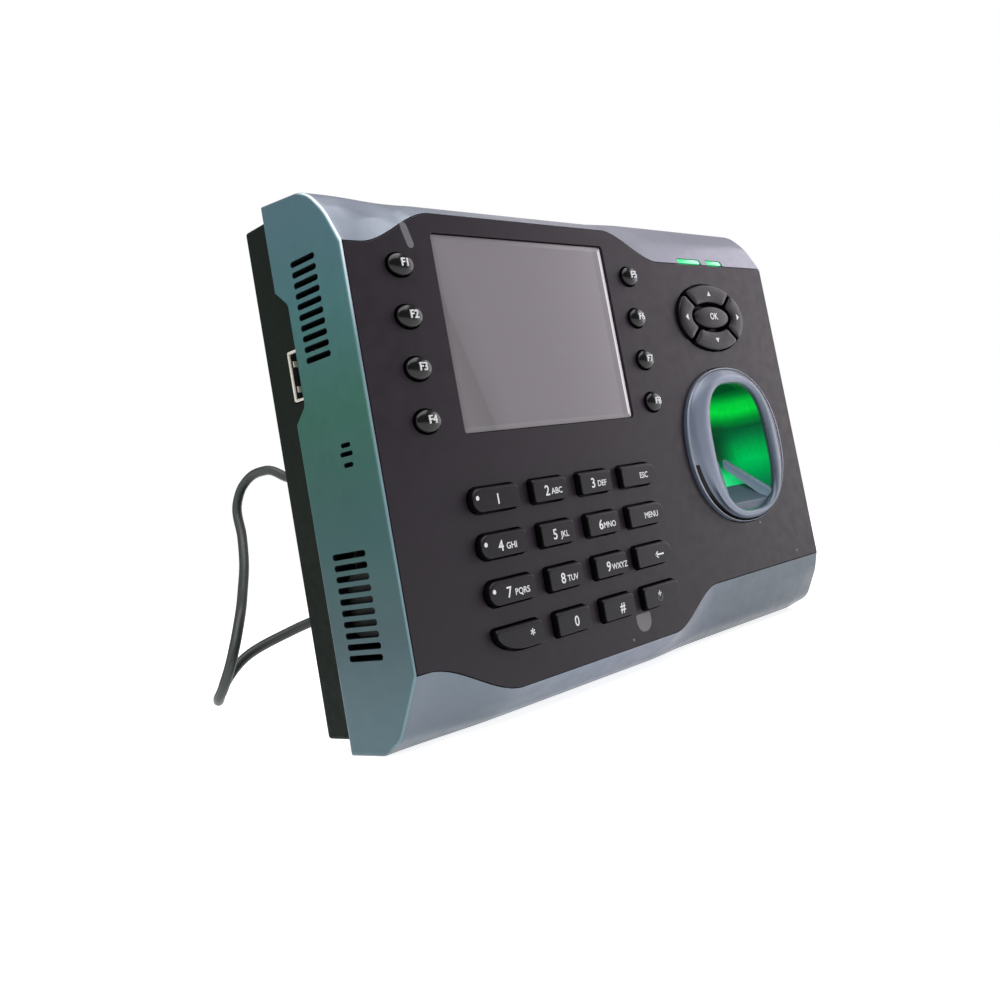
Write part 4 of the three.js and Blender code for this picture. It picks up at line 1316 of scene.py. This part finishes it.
def sensor_glass():
    """The glass block that a finger lies on, its upper face sloping back."""
    top, bottom = READER_Z + 14.6, READER_Z - 14
    section = rounded_polygon([(6.5, bottom), (12.5, top), (17.6, top), (17.6, bottom)], [0.4] * 4, 4)
    ends = ((-12, 0.35), (-11.9, 0.12), (-11.6, 0), (11.6, 0), (11.9, 0.12), (12, 0.35))
    return bar("scanner_prism", section, [(READER_X + x, inset) for x, inset in ends])


def shroud():
    section = [(2.5, 1.8), (2.7, 2.0), (17.8, 2.0), (18, 1.8), (18, 0.2), (17.8, 0), (2.5, 0)]
    rings = [at_depth(ring_points(THROAT, grow), y) for y, grow in section]
    return body_of("scanner_shroud", rings, closed=True)


present(scanner_bezel(), "scanner_bezel")
present(finger_guide(), "finger_guide")
# The glass and the shroud carry the reader's green light as a painted glow.
present(paint(sensor_glass(), "lens_green"), "scanner_prism")
present(paint(shroud(), "cavity_painted_glow"), "scanner_shroud")


# ---------- front panel and window ----------
WINDOW = (30.8, 104.1, 75.7, 130.6)


def window_outline(grow, corner=1.2):
    return cornered(*WINDOW, [(corner, corner)] * 4, grow)


def panel_holes():
    holes = [window_outline(0)]
    for row, keys in enumerate(KEYPAD):
        holes += [keypad_outline(name, row, column, 0.4) for column, (name, _, _) in enumerate(keys)]
    holes += [ellipse(x, z, a + 0.4, b + 0.4) for _, x, z, a, b, _ in FUNCTION_KEYS]
    holes.append(ellipse(NAV_X, NAV_Z, NAV_A + 0.5, NAV_B + 0.5, 96))
    holes.append(ring_points(0, GAP))
    return [hole[::-1] for hole in holes]


def printed(outline, y=0.0):
    return paint(stack("print", [(y + 0.1, outline), (y - 0.02, outline)]), "print_grey")


def front_panel():
    body = paint(plate("front_panel", panel_outline(0), panel_holes(), 0, PANEL_BACK, 0.12), "black_panel")
    turn = math.radians(107)
    capsule = cornered(-3.6, 3.6, -1.2, 1.2, [(1.2, 1.2)] * 4, 0, 8)
    spin = np.array([[math.cos(turn), math.sin(turn)], [-math.sin(turn), math.cos(turn)]])
    capsule = capsule @ spin + (22.4, 129.3)
    patch = cornered(86.5, 93.5, 12, 17.3, [(3, 3.6), (3, 3.6), (0.8, 0.8), (0.8, 0.8)], 0, 8)
    marks = [printed(capsule), printed(patch)]
    marks += [dot(x, z, 0.45, 0, "print_grey") for x, z in ((83.6, 10.7), (163.8, 35), (184.4, 22.1))]
    return joined("front_panel", [body, *marks])


present(front_panel(), "front_panel")


def display_window():
    """The window, with a wide bevel whose right side carries a painted highlight."""
    levels = [
        (2.2, window_outline(-GAP)), (0.76, window_outline(-GAP)), (0.62, window_outline(-1.6)),
        (0.6, window_outline(-1.8))
    ]
    window = paint(stack("display_window", levels, angle=3), "screen_glass")
    return paint_where(
        window, "window_glint", lambda face: 0.05 < face.normal.x < 0.6 and face.normal.y < -0.3
    )


present(display_window(), "display_window")


# ---------- inner pieces keep their shapes ----------
INNER = {
    "display_module": "dark_moulding", "key_mat": "key_silicone", "key_board": "board_green",
    "scanner_board": "board_green", "main_board": "board_green", "speaker": "dark_moulding",
}
for node, material in INNER.items():
    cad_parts[node].data.materials[0] = MATERIALS[material]


# ---------- rear shell, wall plate and sockets ----------
REAR_FACE = 42
PLATE_BACK = 43.8
USB = (1.6, 15.5, 25.8, 31.4, 92, 105.6)  # x, y and z, each from and to
NETWORK = (19, 35, 44, 60)
NETWORK_MOUTH = (21, 33, 47, 56)
POWER_X, POWER_Z, POWER_HALF = 29, 74, 5.5
SOCKET_FRONT = 25.8
SOCKET_BACK = REAR_FACE - 0.4
GROOVE_X, GROOVE_HALF, GROOVE_TOP, GROOVE_DEPTH = 36.5, 1.8, 26, 3.6
PLATE_AREA = (58, 176, 24, 122)
PLATE_SCREWS = {"plate_screw_left": (68, 34), "plate_screw_right": (166, 34)}


def box_body(name, x0, x1, y0, y1, z0, z1):
    ring = [(x0, z0), (x1, z0), (x1, z1), (x0, z1)]
    return stack(name, [(y0, ring), (y1, ring)])


def rear_outline(inset, corner=1.2):
    return cornered(2, WIDTH - 2, 3.4, 141.8, [(corner, corner)] * 4, -inset, 8)


def groove(grow):
    x, half = GROOVE_X, GROOVE_HALF
    ring = cornered(
        x - half, x + half, -4, GROOVE_TOP, [(0.1, 0.1), (0.1, 0.1), (1.7, 1.7), (1.7, 1.7)], grow, 6
    )
    return stack("groove", [(REAR_FACE - GROOVE_DEPTH - grow, ring), (REAR_FACE + 1, ring)])


def through_back(name, x0, x1, z0, z1):
    """A box that cuts a hole for a socket, with its gap, through the rear shell's back."""
    return box_body(name, x0 - GAP, x1 + GAP, REAR_FACE - 5, REAR_FACE + 1, z0 - GAP, z1 + GAP)


def rear_shell():
    """The hollow rear half, with the notch's tongue, the lead's groove and the sockets' holes."""
    front = SHELL_BACK + GAP
    levels = [(front, rear_outline(0)), (REAR_FACE - 0.8, rear_outline(0.15))]
    for turn in quarter(6)[1:]:
        back = REAR_FACE - 0.8 * (1 - math.sin(turn))
        levels.append((back, rear_outline(0.15 + 0.75 * (1 - math.cos(turn)))))
    inner = rear_outline(2.4, 0.6)
    hollow = carve(stack("hollow", [(front - 1, inner), (REAR_FACE - WALL, inner)]), [groove(1.5)])
    tongue_section = [(25.6, 90.4), (25.6, 116.6), (30, 120.9), (32.8, 120.9), (32.8, 86.1), (30, 86.1)]
    tongue = prism_x("tongue", rounded_polygon(tongue_section, [2.3, 2.3, 2, 0.1, 0.1, 2]), 2, 2 + WALL)
    shell = combined(carve(stack("rear_shell", levels), [hollow]), [tongue], "UNION")
    usb_back, usb_low, usb_high = USB[3:]
    cutters = [
        groove(0),
        box_body("usb", -1, 6, 24, usb_back + GAP, usb_low - GAP, usb_high + GAP),
        through_back("network", *NETWORK),
        through_back(
            "power", POWER_X - POWER_HALF, POWER_X + POWER_HALF, POWER_Z - POWER_HALF, POWER_Z + POWER_HALF
        ),
    ]
    for x, z in PLATE_SCREWS.values():
        cutters.append(lathe("hole", [(1.6, REAR_FACE - 5), (1.6, REAR_FACE + 1)], (x, 0, z)))
    return tidy(carve(shell, cutters))


def wall_plate():
    left, right, bottom, top = PLATE_AREA
    places = [
        *PLATE_SCREWS.values(), (left + 10, top - 10), (right - 10, top - 10),
        ((left + right) / 2, top - 10)
    ]
    holes = [ellipse(x, z, 2.3, 2.3, 40)[::-1] for x, z in places]
    outline = cornered(left, right, bottom, top, [(4, 4)] * 4, 0, 8)
    return plate("wall_plate", outline, holes, REAR_FACE + GAP, PLATE_BACK, 0.15)


def plate_screw(node):
    """A countersunk screw with a crossed recess."""
    x, z = PLATE_SCREWS[node]
    head = PLATE_BACK - 0.1
    profile = [
        (0.6, REAR_FACE - 5), (1.2, REAR_FACE - 4.4), (1.2, head - 0.9), (1.85, head - 0.12),
        (1.88, head - 0.05), (1.8, head)
    ]
    screw = lathe(node, profile, (x, 0, z), steps=32)
    arms = [
        block("arm", (x - 1.1, head - 0.55, z - 0.2), (x + 1.1, head + 0.5, z + 0.2), 0.05, 2),
        block("arm", (x - 0.2, head - 0.55, z - 1.1), (x + 0.2, head + 0.5, z + 1.1), 0.05, 2),
    ]
    return tidy(carve(screw, arms))


def usb_socket():
    """A folded steel shell that opens to the left, with its tongue and four contacts."""
    x0, x1, y0, y1, z0, z1 = USB
    wall = 0.8

    def ring(x, grow):
        return at_side(cornered(y0, y1, z0, z1, [(0.6, 0.6)] * 4, grow, 4), x)

    # Painted shade: the faces inside the steel shell take the dark moulding colour.
    def shaded_inside(face):
        x, y, z = (np.array(face.center) - ORIGIN) / MM
        return x > x0 + 0.3 and (y0 + 0.2 < y < y1 - 0.2 or z0 + 0.4 < z < z1 - 0.4)

    shell = body_of("usb_socket", [
        ring(x1, -0.2), ring(x1 - 0.2, 0), ring(x0 + 0.12, 0), ring(x0, -0.12),
        ring(x0 + 0.1, -wall + 0.12), ring(x0 + 0.4, -wall), ring(x1 - 3, -wall),
    ])
    parts = [paint_where(paint(shell, "socket_steel"), "dark_moulding", shaded_inside)]
    spring_y = y1 - wall
    for z in (z0 + 3.4, z1 - 3.4):
        corners = (x0 + 0.9, spring_y - 0.4, z - 0.8), (x0 + 3.3, spring_y + 0.1, z + 0.8)
        parts.append(paint(block("spring", *corners, 0.1, 2), "socket_steel"))
    tongue = block("tongue", (x0 + 1.2, y0 + 1.7, z0 + 1.3), (x1 - 2.9, y0 + 3.4, z1 - 1.3), 0.15)
    parts.append(paint(tongue, "dark_moulding"))
    for i in range(4):
        z = z0 + 3.3 + i * (z1 - z0 - 6.6) / 3
        corners = (x0 + 1.6, y0 + 3.3, z - 0.5), (x1 - 3.2, y0 + 3.6, z + 0.5)
        parts.append(paint(block("contact", *corners, 0.05, 2), "gold"))
    return joined("usb_socket", parts)


def network_socket():
    """A moulded block with a mouth, a latch slot and eight contacts."""
    left, right, bottom, top = NETWORK
    body = block("network_socket", (left, SOCKET_FRONT, bottom), (right, SOCKET_BACK, top), 0.3)
    x0, x1, z0, z1 = NETWORK_MOUTH
    mouth = box_body("mouth", x0, x1, REAR_FACE - 12.5, REAR_FACE + 1, z0, z1)
    latch = box_body("latch", x0 + 3.5, x1 - 3.5, REAR_FACE - 9, REAR_FACE + 1, z0 - 1.6, z0 + 0.2)
    parts = [paint(tidy(carve(body, [mouth, latch])), "dark_moulding")]
    for i in range(8):
        x = x0 + 2.4 + i * (x1 - x0 - 4.8) / 7
        corners = (x - 0.22, REAR_FACE - 12.4, z1 - 1.2), (x + 0.22, REAR_FACE - 3, z1 - 0.75)
        parts.append(paint(block("contact", *corners, 0.08, 2), "gold"))
    return joined("network_socket", parts)


def power_socket():
    low = (POWER_X - POWER_HALF, SOCKET_FRONT, POWER_Z - POWER_HALF)
    high = (POWER_X + POWER_HALF, SOCKET_BACK, POWER_Z + POWER_HALF)
    profile = [(3.2, REAR_FACE - 10.5), (3.2, SOCKET_BACK - 0.4), (3.6, SOCKET_BACK), (3.6, REAR_FACE + 1)]
    bore = lathe("bore", profile, (POWER_X, 0, POWER_Z))
    return tidy(carve(block("power_socket", low, high, 0.4), [bore]))


present(paint(rear_shell(), "rear_black"), "rear_shell")
present(paint(wall_plate(), "steel"), "wall_plate")
for node in PLATE_SCREWS:
    present(paint(plate_screw(node), "steel"), node)
present(usb_socket(), "usb_socket")
present(network_socket(), "network_socket")
present(paint(power_socket(), "dark_moulding"), "power_socket")


# ---------- floor and light ----------
def floor():
    """A wide pale table top whose rim is far outside the picture."""
    turn = np.linspace(0, 2 * np.pi, 96, endpoint=False)
    points = [(4000 * math.cos(t), 4000 * math.sin(t), -0.05) for t in turn]
    item = mesh_object("floor", points, [tuple(range(len(points)))])
    nodes = Nodes("table_top")
    cloud = nodes.noise(9, 3)
    nodes.put("Base Color", nodes.factors(cloud, [(0.35, 0.58, 0.58, 0.58), (0.65, 0.62, 0.62, 0.62)]))
    nodes.put("Roughness", 0.9)
    nodes.put("Emission Color", (1, 1, 1, 1))
    nodes.put("Emission Strength", 0.82)
    item.data.materials.append(nodes.finish(specular=0.1))
    return item


floor()


def softbox(name, place, target, size, power, colour=(1, 1, 1)):
    light = bpy.data.lights.new(name, "AREA")
    light.shape = "RECTANGLE"
    light.size, light.size_y = size
    light.energy = power
    light.color = colour
    item = bpy.data.objects.new(name, light)
    bpy.context.scene.collection.objects.link(item)
    item.location = Vector(metres(place))
    aim = Vector(metres(target)) - item.location
    item.rotation_euler = aim.to_track_quat("-Z", "Y").to_euler()


MIDDLE = (100, 15, 70)
softbox("overhead", (60, -200, 900), MIDDLE, (1.2, 1.0), 12)
softbox("right_front", (1050, -300, 250), MIDDLE, (0.7, 0.9), 4.6, (1.0, 0.94, 1.0))
softbox("left_fill", (-800, 100, 400), MIDDLE, (0.8, 0.8), 3, (0.92, 1.0, 0.98))

world = bpy.data.worlds.new("studio")
bpy.context.scene.world = world
world.use_nodes = True
tree = world.node_tree
background = tree.nodes["Background"]
path = tree.nodes.new("ShaderNodeLightPath")
seen = tree.nodes.new("ShaderNodeMapRange")
seen.inputs["To Min"].default_value = 0.3
seen.inputs["To Max"].default_value = 1.0
tree.links.new(path.outputs["Is Camera Ray"], seen.inputs["Value"])
tree.links.new(seen.outputs["Result"], background.inputs["Strength"])
background.inputs["Color"].default_value = (1, 1, 1, 1)
